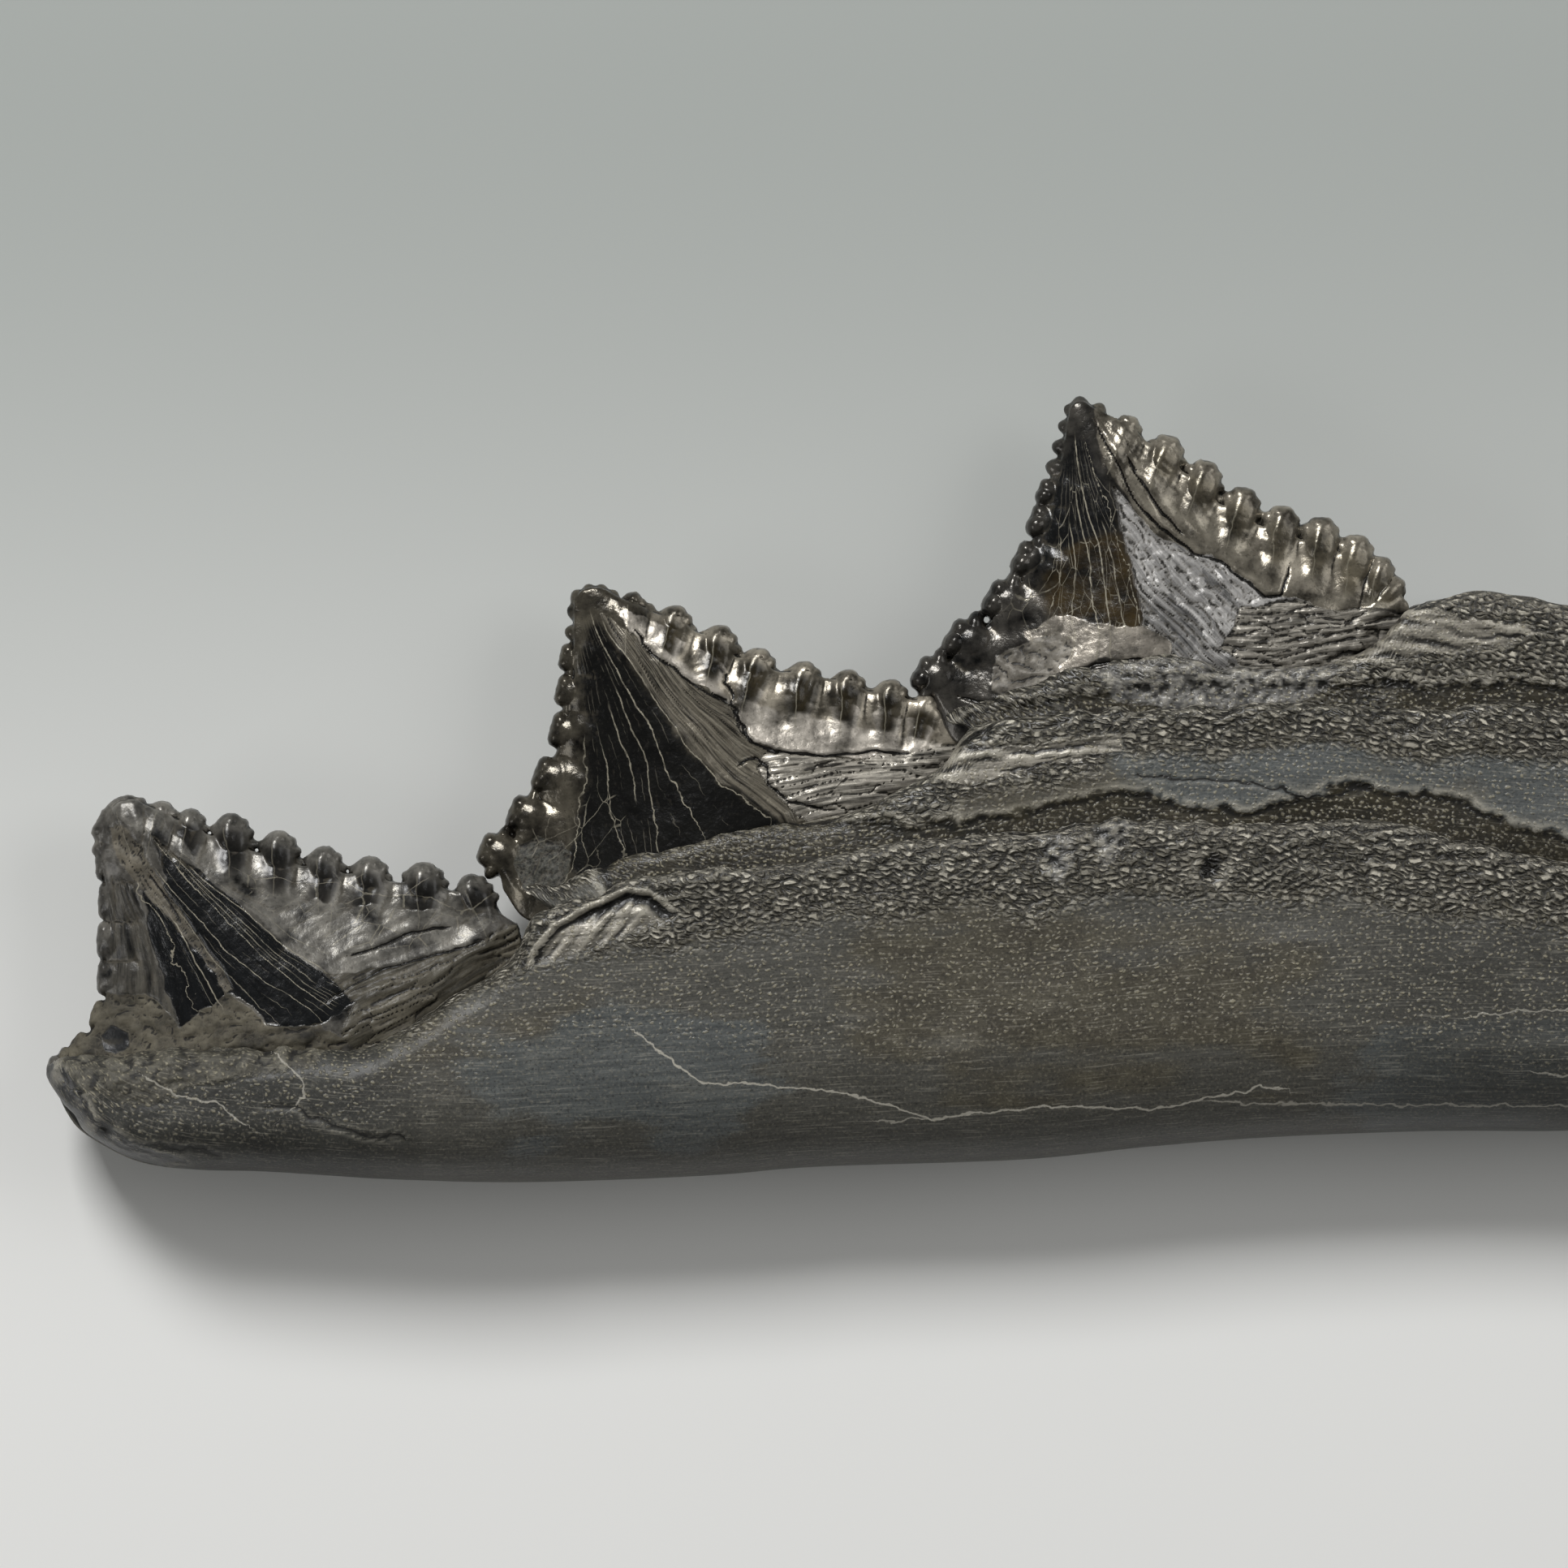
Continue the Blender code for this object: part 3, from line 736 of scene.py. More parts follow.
@dataclass(frozen=True)
class RootFinish(FossilFinish):
    """Root tissue, weathered as it grew: wrinkles and granules above, smooth below, with thin pale cracks.

    To the eye it is a satin slate grey, beaded with pale grains under a brown dotted strip.
    """

    speck: str = "#88826f"
    # Pale colour of the painted highlights on cobbles and crests, and of pale hairlines.
    crest: str = "#b6b1a3"
    crack: str = "#a09c91"
    cobble: Point = (0.95, 0.42)
    cobble_lean: float = -0.28
    granule: Point = (0.54, 0.46)
    fibre: Point = (3.4, 0.15)
    gape_width: float = 0.14

    def mark(self, board: Board, colour: Socket, height: Node) -> tuple[Socket, Node]:
        """Adds cobbles and wrinkle crests with painted highlights and shade, pale granules and long cracks.

        Args:
            board: the material's board, with its patterns.
            colour: the layers' colour.
            height: the layers' height in millimetres.

        Returns:
            The new colour and height.
        """
        wobble = board.add("TexNoise", {"Vector": board.found["place"], "Scale": 0.9, "Detail": 4.0})
        shifts = [wobble.outputs["Color"], (1.1, 0.7, 0.0), board.stored("lay")]
        shift = board.add("VectorMath", shifts, "MULTIPLY_ADD")
        wrinkled, grainy = board.channel("grains", 0), board.channel("grains", 1)
        edge = self.cells(board, shift, self.cobble, "DISTANCE_TO_EDGE", self.cobble_lean)
        faces = self.cells(board, shift, self.cobble, "F1", self.cobble_lean)
        tint = board.add("SeparateXYZ", [faces.outputs["Color"]])
        bright = board.add("MapRange", [tint, 0.1, 0.95, 0.05, 0.95])
        # Painted highlight on each cobble's dome, brighter or dimmer at random, and painted shade in the
        # gaps between cobbles.
        dome = board.add("MapRange", [edge, 0.08, 0.36], interpolation_type="SMOOTHSTEP")
        colour = board.cover(colour, self.crest, dome, bright, wrinkled)
        deep = board.add("MapRange", [edge, 0.20, 0.05, 0.0, 0.88])
        colour = board.cover(colour, self.crevice, deep, wrinkled)
        raised = board.add("Math", [dome, wrinkled], "MULTIPLY")
        height = board.add("Math", [raised, 0.24, height], "MULTIPLY_ADD")
        seeds = self.cells(board, shift, self.granule, "F1")
        chance = board.add("SeparateXYZ", [seeds.outputs["Color"]]).outputs[1]
        some = board.add("MapRange", [chance, 0.1, 0.9, 0.15])
        some = board.add("Math", [some, board.channel("grains", 2)], "MAXIMUM")
        dot = board.add("MapRange", [seeds, 0.32, 0.12])
        for factor in (some, grainy):
            dot = board.add("Math", [dot, factor], "MULTIPLY")
        colour = board.cover(colour, self.speck, dot)
        height = board.add("Math", [dot, 0.08, height], "MULTIPLY_ADD")
        fibres = board.add("Mapping", {
            "Vector": board.stored("lay"), "Scale": (*self.fibre, 1.0),
        }, vector_type="TEXTURE")
        dashes = board.add("TexNoise", {
            "Vector": fibres, "Scale": 1.0, "Detail": 1.0,
        }, noise_dimensions="2D")
        for tone, low, high, strength in ((self.crest, 0.64, 0.76, 0.15), (self.crevice, 0.38, 0.26, 0.28)):
            colour = board.cover(colour, tone, board.add("MapRange", [dashes, low, high, 0.0, strength]))
        # Painted highlight on what stands proud, except on the brown matrix.
        proud = board.add("MapRange", [board.channel("shape", 0), 0.1, 1.1, 0.0, 0.40])
        clear = board.add("Math", [board.channel("tints", 2), -0.85, 1.0], "MULTIPLY_ADD")
        colour = board.cover(colour, self.crest, proud, clear)
        colour, height = super().mark(board, colour, height)
        bent = board.add("Math", [wobble, 1.0, -0.5], "MULTIPLY_ADD")
        for number, width, strength in ((0, 0.14, 0.85), (1, 0.12, 0.6), (2, 0.11, 0.5)):
            signed = board.add("Math", [board.channel("cracks", number), bent], "ADD")
            gap = board.add("Math", [signed], "ABSOLUTE")
            colour = board.crack(colour, gap, strength, width, self.crack)
        signed = board.add("Math", [bent, 0.8, board.channel("shape", 1)], "MULTIPLY_ADD")
        gap = board.add("Math", [signed], "ABSOLUTE")
        return board.crack(colour, gap, 0.95, self.gape_width, self.crevice), height

    def cells(self, board: Board, place: Node, size: Point, feature: str, lean: float = 0.0) -> Node:
        """Adds flat random cells of a real length and width in millimetres, turned by a lean."""
        fitted = board.add("Mapping", {
            "Vector": place, "Rotation": (0.0, 0.0, lean), "Scale": (*size, 1.0),
        }, vector_type="TEXTURE")
        return board.add("TexVoronoi", {
            "Vector": fitted, "Scale": 1.0,
        }, feature=feature, voronoi_dimensions="2D")


@dataclass(frozen=True)
class Lobe:
    """One serration: its tip, the direction it points in, and its semi-axes in millimetres."""

    tip: Point
    heading_deg: float
    half_length: float = 2.7
    half_width: float = 1.55
    half_depth: float = 1.75

    @property
    def row(self) -> "Row":
        """The row that it stands in."""
        if self.half_length < SMALL_LOBE:
            return Row.TIP
        return Row.RIGHT if self.heading_deg < LEFT_HEADING else Row.LEFT


class Row(Enum):
    """Rows of serrations: beads on each, the turns in degrees of the first and the last, and their size."""

    TIP = (0, 0.0, 0.0, 1.0)
    RIGHT = (6, 44.0, -92.0, 1.04)
    LEFT = (4, 58.0, -62.0, 1.45)


ROW_STRETCH = {Row.TIP: (1.0, 1.0, 1.0), Row.RIGHT: (1.0, 1.10, 0.88), Row.LEFT: (1.0, 1.24, 0.80)}


@dataclass(frozen=True)
class SerrationTree:
    """A Geometry Nodes tree that sets a beaded lobe on every point of a crown's edge."""

    half_length: float = 2.7
    half_width: float = 1.55
    half_depth: float = 1.75
    bead: float = 0.50
    bead_shape: tuple[float, float, float] = (1.12, 0.92, 1.9)
    bell: Point = (0.74, 0.94)
    seed: int = 7

    def build(self) -> Tree:
        """Builds the tree with its named inputs.

        Returns:
            The node tree.
        """
        tree = bpy.data.node_groups.new("beaded_serrations", "GeometryNodeTree")
        tree.interface.new_socket("Geometry", in_out="OUTPUT", socket_type="NodeSocketGeometry")
        for name, kind in (
            ("Geometry", "Geometry"), ("Half Length", "Float"), ("Half Width", "Float"),
            ("Half Depth", "Float"), ("Beads", "Int"), ("Bead Size", "Float"), ("First Turn", "Float"),
            ("Last Turn", "Float"), ("Seed", "Int"), ("Material", "Material"),
        ):
            tree.interface.new_socket(name, in_out="INPUT", socket_type=f"NodeSocket{kind}")
        board = Board(tree)
        given = board.add("NodeGroupInput").outputs
        size = board.add("CombineXYZ", [given["Half Length"], given["Half Width"], given["Half Depth"]])
        back = board.add("Math", [given["Half Length"], -1.0], "MULTIPLY")
        behind = board.add("CombineXYZ", [back])
        further = board.add("VectorMath", {0: behind, "Scale": 1.65}, "SCALE")
        ball = board.add("GeometryNodeMeshUVSphere", {"Segments": 20, "Rings": 14, "Radius": 1.0})
        egg, column = (
            board.add("GeometryNodeTransform", {"Geometry": ball, "Scale": size, "Translation": place})
            for place in (behind, further)
        )
        turn, spot = self.bead_places(board, given, size, behind)
        points = board.add("GeometryNodePoints", {"Count": given["Beads"], "Position": spot})
        small = board.add("GeometryNodeMeshUVSphere", {"Segments": 10, "Rings": 8, "Radius": 1.0})
        vary = board.add("FunctionNodeRandomValue", {2: 0.82, 3: 1.15, "Seed": given["Seed"]}).outputs[1]
        off = board.add("Math", [turn], "ABSOLUTE")
        smaller = board.add("MapRange", [off, 0.0, 0.6, 1.35, 0.95])
        varied = board.add("Math", [smaller, vary], "MULTIPLY")
        width = board.add("Math", [given["Bead Size"], varied], "MULTIPLY")
        shape = board.add("VectorMath", {0: self.bead_shape, "Scale": width}, "SCALE")
        beads = self.copies(board, points, small, turn, shape)
        lobe = board.add("GeometryNodeJoinGeometry")
        for part in (beads, egg, column):
            tree.links.new(part.outputs[0], lobe.inputs[0])
        heading, share = (
            board.add("GeometryNodeInputNamedAttribute", {"Name": name}, data_type=kind)
            for name, kind in (("heading", "FLOAT"), ("share", "FLOAT_VECTOR"))
        )
        row = self.copies(board, given["Geometry"], lobe, heading, share)
        real = board.add("GeometryNodeRealizeInstances", [row])
        dressed = board.add("GeometryNodeSetMaterial", {"Geometry": real, "Material": given["Material"]})
        board.add("NodeGroupOutput", [dressed])
        return tree

    def copies(self, board: Board, points: Node | Socket, form: Node, turn: Node, size: Node) -> Node:
        """Sets a form on points, turned about Z and scaled as each point says."""
        about = board.add("FunctionNodeEulerToRotation", [board.add("CombineXYZ", {2: turn})])
        return board.add("GeometryNodeInstanceOnPoints", {
            "Points": points, "Instance": form, "Rotation": about, "Scale": size,
        })

    def bead_places(self, board: Board, given: dict[str, Socket], size: Node, behind: Node) -> list[Node]:
        """Spaces the beads along the rim of a lobe.

        Args:
            board: the tree's board.
            given: the tree's inputs.
            size: the lobe's semi-axes.
            behind: the middle of the lobe.

        Returns:
            Each bead's turn about Z and its place.
        """
        last = board.add("Math", [given["Beads"], 1.0], "SUBTRACT")
        index = board.add("GeometryNodeInputIndex")
        turn = board.add("MapRange", [index, 0.0, last, given["First Turn"], given["Last Turn"]])
        circle = board.add("CombineXYZ", [
            board.add("Math", [turn], kind) for kind in ("COSINE", "SINE")
        ])
        place = circle
        for kind, other in (("MULTIPLY", size), ("MULTIPLY", (*self.bell, 1.0)), ("ADD", behind)):
            place = board.add("VectorMath", [place, other], kind)
        return [turn, place]

    def row_mesh(self, tree: Tree, lobes: list[Lobe], row: Row, finish: bpy.types.Material,
                 seed: int) -> Mesh:
        """Makes the plain mesh of one row of serrations.

        Args:
            tree: the tree that `build` made.
            lobes: the row's lobes.
            row: which row they form.
            finish: the crown's material.
            seed: another seed gives other bead sizes.

        Returns:
            The row's mesh, in millimetres.
        """
        mesh = make_mesh("row", np.array([[*lobe.tip, MIDDLE_PLANE] for lobe in lobes]), [])
        store(mesh, "heading", np.radians([lobe.heading_deg for lobe in lobes]))
        sizes = np.array([[lobe.half_length, lobe.half_width, lobe.half_depth] for lobe in lobes])
        usual = (self.half_length, self.half_width, self.half_depth)
        store(mesh, "share", sizes / usual * ROW_STRETCH[row])
        holder = bpy.data.objects.new("row", mesh)
        modifier = holder.modifiers.new("serrations", "NODES")
        modifier.node_group = tree
        beads, first, last, share = row.value
        values = {
            "Half Length": self.half_length, "Half Width": self.half_width, "Half Depth": self.half_depth,
            "Beads": beads, "Bead Size": self.bead * share, "First Turn": math.radians(first),
            "Last Turn": math.radians(last), "Seed": self.seed + seed, "Material": finish,
        }
        for socket in tree.interface.items_tree:
            if socket.in_out == "INPUT" and socket.name in values:
                modifier[socket.identifier] = values[socket.name]
        return evaluated(holder)


@dataclass(frozen=True)
class Vein:
    """One pale crack of a crown's fan: its places across the crown at LEVELS, its start and its end."""

    across: tuple[float, ...]
    start: float
    end: float
    strength: float = 1.0


LEVELS = (0.0, 0.15, 0.30, 0.45, 0.60, 0.80, 1.0)


def veins(text: str) -> tuple[Vein, ...]:
    """Reads veins, each as its places across, its start, its end and, where it is faint, its strength."""
    return tuple(Vein(row[: len(LEVELS)], *row[len(LEVELS) :]) for row in drawn(text))


def lobes(text: str) -> tuple[Lobe, ...]:
    """Reads lobes, each as X, Y, heading and, where it isn't of the usual size, its semi-axes."""
    return tuple(Lobe((x, y), *others) for x, y, *others in drawn(text))


@dataclass(frozen=True)
class Crown:
    """A crown: its four edges in the side view, its lens section, its serrations and its zones of wear."""

    tip: Line
    left_edge: Line
    right_edge: Line
    margin: Line
    ridge_place: float
    tip_half_thickness: float
    base_half_thickness: float
    lobes: tuple[Lobe, ...]
    veins: tuple[Vein, ...]
    zones: dict[str, Line]
    fissures: tuple[Line, ...] = ()
    rib_reach: float = 5.0
    rib_height: float = 0.45
    dish_depth: float = 0.5
    skirt: Point = (0.5, -2.4)
    plume_turn_deg: float = 5.0
    bare_turn_deg: float = 0.0
    soft_zones: tuple[str, ...] = ()
    edge_half_thickness: float = 1.05
    ridge_power: float = 1.6
    voxel: float = 0.156

    def surface(self, down: Array, across: Array) -> Array:
        """Drawn places on the crown.

        Args:
            down: 0 at the tip, 1 at the lower margin.
            across: 0 at the left edge, 1 at the right one.

        Returns:
            Rows of x and y in millimetres.
        """
        tip, margin = walk(self.tip, across), walk(self.margin, across)
        left, right = walk(self.left_edge, down), walk(self.right_edge, down)
        d, a = down[..., None], across[..., None]
        ends = [np.array(p) for p in (self.tip[0], self.tip[-1], self.margin[0], self.margin[-1])]
        corners = (1 - d) * ((1 - a) * ends[0] + a * ends[1]) + d * ((1 - a) * ends[2] + a * ends[3])
        return (1 - d) * tip + d * margin + (1 - a) * left + a * right - corners

    def half_thickness(self, down: Array, across: Array) -> Array:
        """Half the crown's thickness, in millimetres.

        Args:
            down: 0 at the tip, 1 at the lower margin.
            across: 0 at the left edge, 1 at the right one.

        Returns:
            One number for each place.
        """
        reach = np.where(across < self.ridge_place, self.ridge_place, 1.0 - self.ridge_place)
        off = np.clip(np.abs(across - self.ridge_place) / reach, 0.0, 1.0)
        rise = (self.base_half_thickness - self.tip_half_thickness) * np.clip(down, 0, 1) ** 0.8
        ridge = self.tip_half_thickness + rise
        return self.edge_half_thickness + (ridge - self.edge_half_thickness) * (1.0 - off**self.ridge_power)

    def body_mesh(self) -> Mesh:
        """Makes the crown without its serrations.

        Returns:
            A closed mesh in millimetres.
        """
        rows, columns = 72, 64
        parts = [np.linspace(0, 1, count + 1) for count in (rows, columns)]
        down, across = np.meshgrid(*parts, indexing="ij")
        flat, half = self.surface(down, across), self.half_thickness(down, across)
        steps = np.linspace(0.0, 1.0, 8)[1:, None, None]
        flat = np.concatenate([flat, flat[-1:] + steps * np.array(self.skirt)]).reshape(-1, 2)
        half = np.concatenate([half, half[-1:] * (1.0 - 0.1 * steps[..., 0])]).ravel()
        rows += len(steps)
        points = np.vstack([np.column_stack([flat, MIDDLE_PLANE + side * half]) for side in (1.0, -1.0)])
        count = (rows + 1) * (columns + 1)
        number = np.arange(count).reshape(rows + 1, columns + 1)
        corners = [number[:-1, :-1], number[1:, :-1], number[1:, 1:], number[:-1, 1:]]
        quads = np.stack(corners, axis=-1).reshape(-1, 4)
        rim = np.concatenate([number[0, :], number[1:, -1], number[-1, -2::-1], number[-2:0:-1, 0]])
        after = np.roll(rim, -1)
        walls = np.stack([rim, after, after + count, rim + count], axis=1)
        return make_mesh("crown_body", points, np.vstack([quads, quads[:, ::-1] + count, walls]))

    def fused_mesh(self, serrations: SerrationTree, tree: Tree, finish: bpy.types.Material,
                   seed: int) -> Mesh:
        """Grows body and serrations together into one closed skin.

        Args:
            serrations: the sizes of the beads.
            tree: the serrations' Geometry Nodes tree.
            finish: the crown's material.
            seed: another seed gives other bead sizes.

        Returns:
            The crown's mesh, in millimetres.
        """
        rows = {row: [lobe for lobe in self.lobes if lobe.row is row] for row in Row}
        parts = [self.body_mesh()]
        parts += [
            serrations.row_mesh(tree, lobes, row, finish, seed + 3 * number)
            for number, (row, lobes) in enumerate(rows.items()) if lobes
        ]
        form = bmesh.new()
        for part in parts:
            form.from_mesh(part)
        joined = bpy.data.meshes.new("crown_joined")
        form.to_mesh(joined)
        form.free()
        holder = bpy.data.objects.new("crown_joined", joined)
        remesh = holder.modifiers.new("skin", "REMESH")
        remesh.mode = "VOXEL"
        remesh.voxel_size = self.voxel
        fused = evaluated(holder)
        for part in (*parts, joined):
            bpy.data.meshes.remove(part)
        return fused

    def patch_places(self, spots: Array) -> tuple[Array, Array]:
        """Finds how far down and across the crown its points lie.

        Args:
            spots: rows of x and y in millimetres.

        Returns:
            The parts down and across, from about 0 to 1.
        """
        steps = 90
        down, across = np.meshgrid(np.linspace(0, 1, steps), np.linspace(0, 1, steps), indexing="ij")
        down, across = down.ravel(), across.ravel()
        known = self.surface(down, across)
        tree = KDTree(len(known))
        for number, (x, y) in enumerate(known):
            tree.insert((x, y, 0.0), number)
        tree.balance()
        nearest = np.array([tree.find((x, y, 0.0))[1] for x, y in spots])
        down, across = down[nearest], across[nearest]
        reach = 1e-3
        for _ in range(4):
            here = self.surface(down, across)
            by_down, by_across = (
                (self.surface(down + a, across + b) - self.surface(down - a, across - b)) / (2 * reach)
                for a, b in ((reach, 0.0), (0.0, reach))
            )
            miss = spots - here
            area = by_down[:, 0] * by_across[:, 1] - by_down[:, 1] * by_across[:, 0]
            area = np.where(np.abs(area) < 1.0, np.copysign(1.0, area), area)
            step_down = (miss[:, 0] * by_across[:, 1] - miss[:, 1] * by_across[:, 0]) / area
            step_across = (by_down[:, 0] * miss[:, 1] - by_down[:, 1] * miss[:, 0]) / area
            down = np.clip(down + np.clip(step_down, -0.03, 0.03), 0.002, 0.998)
            across = np.clip(across + np.clip(step_across, -0.03, 0.03), 0.002, 0.998)
        return down, across

    def fan(self, down: Array, across: Array) -> Array:
        """Numbers the crown's bands between its veins.

        Args:
            down: parts down the crown.
            across: parts across it.

        Returns:
            Rows of a number that is whole on each vein, the width of the band there in millimetres,
            and how strongly the nearest vein shows.
        """
        lines = np.array([np.interp(down, LEVELS, vein.across) for vein in self.veins])
        lines = np.vstack([np.zeros_like(down)[None] - 0.02, lines, np.ones_like(down)[None] + 0.02])
        width = np.linalg.norm(walk(self.right_edge, down) - walk(self.left_edge, down), axis=1)
        number = np.zeros_like(down)
        band = np.full_like(down, 1.0)
        for k in range(len(lines) - 1):
            inside = (across >= lines[k]) & (across < lines[k + 1])
            gap = np.maximum(lines[k + 1] - lines[k], 1e-3)
            number = np.where(inside, k + (across - lines[k]) / gap, number)
            band = np.where(inside, gap * width, band)
        strength = np.zeros_like(down)
        for k, vein in enumerate(self.veins, start=1):
            shows = vein.strength * eased(down, vein.start - 0.02, vein.start + 0.02)
            shows = shows * eased(down, vein.end + 0.03, vein.end - 0.03)
            strength = np.where(np.rint(number) == k, shows, strength)
        return np.column_stack([number, band, strength])

    def ribs(self, spots: Array) -> tuple[Array, ...]:
        """How far points lie on the ribs that run down from the serrations.

        Args:
            spots: rows of x and y in millimetres.

        Returns:
            Numbers from 0 between ribs to 1 on one, the same as flutes on each rib, as its dark
            middle and as the cap of its lobe, and the distance to the crack along a rib's middle in
            millimetres.
        """
        most, flutes, cores, caps = np.zeros((4, len(spots)))
        split = np.full(len(spots), FAR)
        for number, lobe in enumerate(self.lobes):
            if lobe.row is Row.TIP:
                continue
            on_right = lobe.row is Row.RIGHT
            turn = math.radians(lobe.heading_deg)
            inward = np.array([-math.cos(turn), -math.sin(turn)])
            offset = spots - np.array(lobe.tip)
            along = offset @ inward
            aside = offset @ np.array([-inward[1], inward[0]])
            width = lobe.half_width * (0.62 + 0.5 * eased(along, 4.6, 1.6))
            reach = self.rib_reach if on_right else 0.7 * self.rib_reach
            rib = np.exp(-((np.abs(aside) / width) ** 3)) * eased(along, reach + 1.6, reach - 1.6)
            rib = rib * eased(along, -1.0, 1.0)
            ahead = rib > most
            most = np.where(ahead, rib, most)
            fluted = rib * np.cos(2 * np.pi * (aside + 0.12 * along) / 1.3) * eased(along, 5.0, 2.5)
            flutes = np.where(ahead, fluted if on_right else 0.2 * fluted, flutes)
            caps = np.where(ahead, eased(along, 2.3, 1.0), caps)
            core_width = 1.1 + 0.25 * math.sin(5.0 * number)
            core = np.exp(-((np.abs(aside + 0.1) / core_width) ** 2)) * eased(along, 0.6, 2.2)
            cores = np.maximum(cores, core * eased(along, reach + 1.2, reach - 1.2))
            if on_right:
                near = np.where((along > 1.2) & (along < 5.4), aside + 0.3, FAR)
                split = np.where(np.abs(near) < np.abs(split), near, split)
        return most, flutes, cores, caps, split

    def zone(self, spots: Array, name: str, softness: float = 0.3) -> Array:
        """How far points lie in a named zone, from 0 to 1; one that the crown lacks is 0 everywhere."""
        return within(spots, self.zones.get(name, ()), softness)

    def carve(self, mesh: Mesh, seed: int) -> None:
        """Gives the fused skin its fine relief, and stores what the finish reads.

        Args:
            mesh: the fused mesh in millimetres, which ends in metres in the jaw's frame.
            seed: another seed gives other fine relief.
        """
        edges = read_rows(mesh, "edges")
        # The voxels' steps are smoothed away, and the forms are then sharpened a little.
        points = relaxed(relaxed(read_rows(mesh, "vertices"), edges, 2, 0.5), edges, 1, -0.4)
        put_points(mesh, points)
        normals = read_rows(mesh, "vertex_normals")
        spots = points[:, :2]
        sides = points.copy()
        on_front = points[:, 2] > MIDDLE_PLANE
        sides[:, 2] = np.where(on_front, points[:, 2], points[:, 2] - CROWN_BACK_SHIFT)
        ragged = spots + 0.45 * drift(sides, (1.3, 1.3), seed + 1)
        down, across = self.patch_places(spots)
        fan = self.fan(down, across)
        middle = np.full(1, 0.5)
        length = np.linalg.norm(self.surface(np.ones(1), middle) - self.surface(np.zeros(1), middle))
        # Fibres run down the fan, and in its fibrous and splintered zones in a direction of their own.
        lay = np.column_stack([
            down * length, fan[:, 0] * 1.6 + across * 8.0, np.where(on_front, 0.0, CROWN_BACK_LAY),
        ])
        black, bare, silver, streak, plume, tan, matrix, pit, ribbed, net = (
            self.zone(ragged, name, 1.6 if name in self.soft_zones else 0.3)
            for name in "black bare silver streak plume tan matrix pit ribbed net".split()
        )
        aside = np.maximum(plume, silver if self.dish_depth else 0.0) > 0.5
        ways = [(aside, self.plume_turn_deg, 0.5, 5.0, 7)]
        if self.bare_turn_deg:
            ways.append(((bare > 0.5) & (plume < 0.5), self.bare_turn_deg, 0.6, 4.0, 8))
        for where, degrees, reach, size, number in ways:
            fibres = turned(spots, degrees)
            fibres[:, 1] += reach * swell(spots, size, seed + number)
            lay[:, :2] = np.where(where[:, None], fibres, lay[:, :2])
        # The relief in millimetres: ribs and the hollow beside them, silky fibres, leaves with lifted
        # edges, splinters, crumbs of rock and a faint unevenness all over.
        faceward = np.abs(normals[:, 2])
        ribs, flutes, cores, caps, split = self.ribs(spots + 0.12 * (ragged - spots))
        height = (self.rib_height * ribs * (1.0 - 0.8 * black) + 0.06 * flutes) * faceward
        height -= self.dish_depth * self.zone(spots, "dish", 1.6) * faceward
        streaks = swell(lay, (3.4, 0.50, 9.0), seed + 3) + 0.6 * swell(lay, (2.0, 0.30, 9.0), seed + 13)
        shift = 0.25 * swell(sides, 1.5, seed + 16)[:, None]
        near, far, tone = plates(lay[:, :2] / (4.4, 0.85) + shift, seed + 15)
        leaves = 0.15 * tone - 0.17 * eased(far - near, 0.12, 0.02) * (tone > 0.5)
        flaky = np.abs(rough(lay + 1.4 * shift, (2.6, 0.8, 9.0), seed + 17, 4))
        shards = np.abs(rough(lay + 0.8 * shift, (2.4, 0.40, 9.0), seed + 18, 3))
        height += 0.09 * streaks * (streak + 0.15 * black + 0.25 * silver) * faceward
        height += plume * (0.12 * streaks + leaves + 0.18 * flaky - 0.1) * faceward
        stepped = rough(sides, (1.5, 1.1, 1.5), seed + 4)
        crumbly = np.abs(rough(sides, (1.9, 1.3, 1.9), seed + 9, 4))
        height += bare * faceward * (0.18 * shards + 0.28 * flaky + 0.35 * crumbly - 0.35)
        height += matrix * faceward * (0.7 * crumbly - 0.2 + 0.2 * stepped) * (1.0 - pit)
        height += 0.06 * rough(sides, 1.7, seed + 5, 4)
        # The fissures wander, and close towards both ends.
        gap = np.full(len(points), FAR)
        for line in self.fissures:
            reach, _, part = to_line(spots + 0.22 * np.column_stack([streaks, stepped]), line)
            gap = np.minimum(gap, reach + 0.16 * eased(part, 0.9, 1.0) + 0.16 * eased(part, 0.1, 0.0))
        height -= 0.22 * eased(gap, 0.20, 0.05) * faceward
        points = points + normals * height[:, None]
        put_points(mesh, points)
        normals = read_rows(mesh, "vertex_normals")
        # How far a place stands proud of its surroundings, seen closely and widely. Shallow hollows are
        # made dusty and deep ones get painted shade.
        relief = np.zeros(len(points))
        for times, span in ((4, 0.045), (24, 0.22)):
            relief += ((points - relaxed(points, edges, times)) * normals).sum(axis=1) / span
        # Faces turned steeply away from the camera count as deep hollows: painted shade on the rims of lobes
        # and edges.
        relief -= 1.1 * eased(np.abs(normals[:, 2]), 0.68, 0.2)
        store(mesh, "fan", fan)
        store(mesh, "lay", lay)
        store(mesh, "zones", np.column_stack([black, bare, silver]))
        store(mesh, "wear", np.column_stack([streak, tan, matrix]))
        store(mesh, "shape", np.column_stack([relief, gap, net]))
        # Pale valleys and caps between the ribs, partly their own silvery tone and partly a painted
        # highlight where they catch the light; dark rib middles, partly brown enameloid and partly a painted
        # dark reflection.
        between = np.maximum(eased(ribs, 0.75, 0.1), caps)
        store(mesh, "ribs", np.column_stack([cores * ribbed, between * ribbed, split]))
        store(mesh, "spots", np.column_stack([pit, plume, 0.30 + 0.40 * tone]))
        put_points(mesh, placed(points))


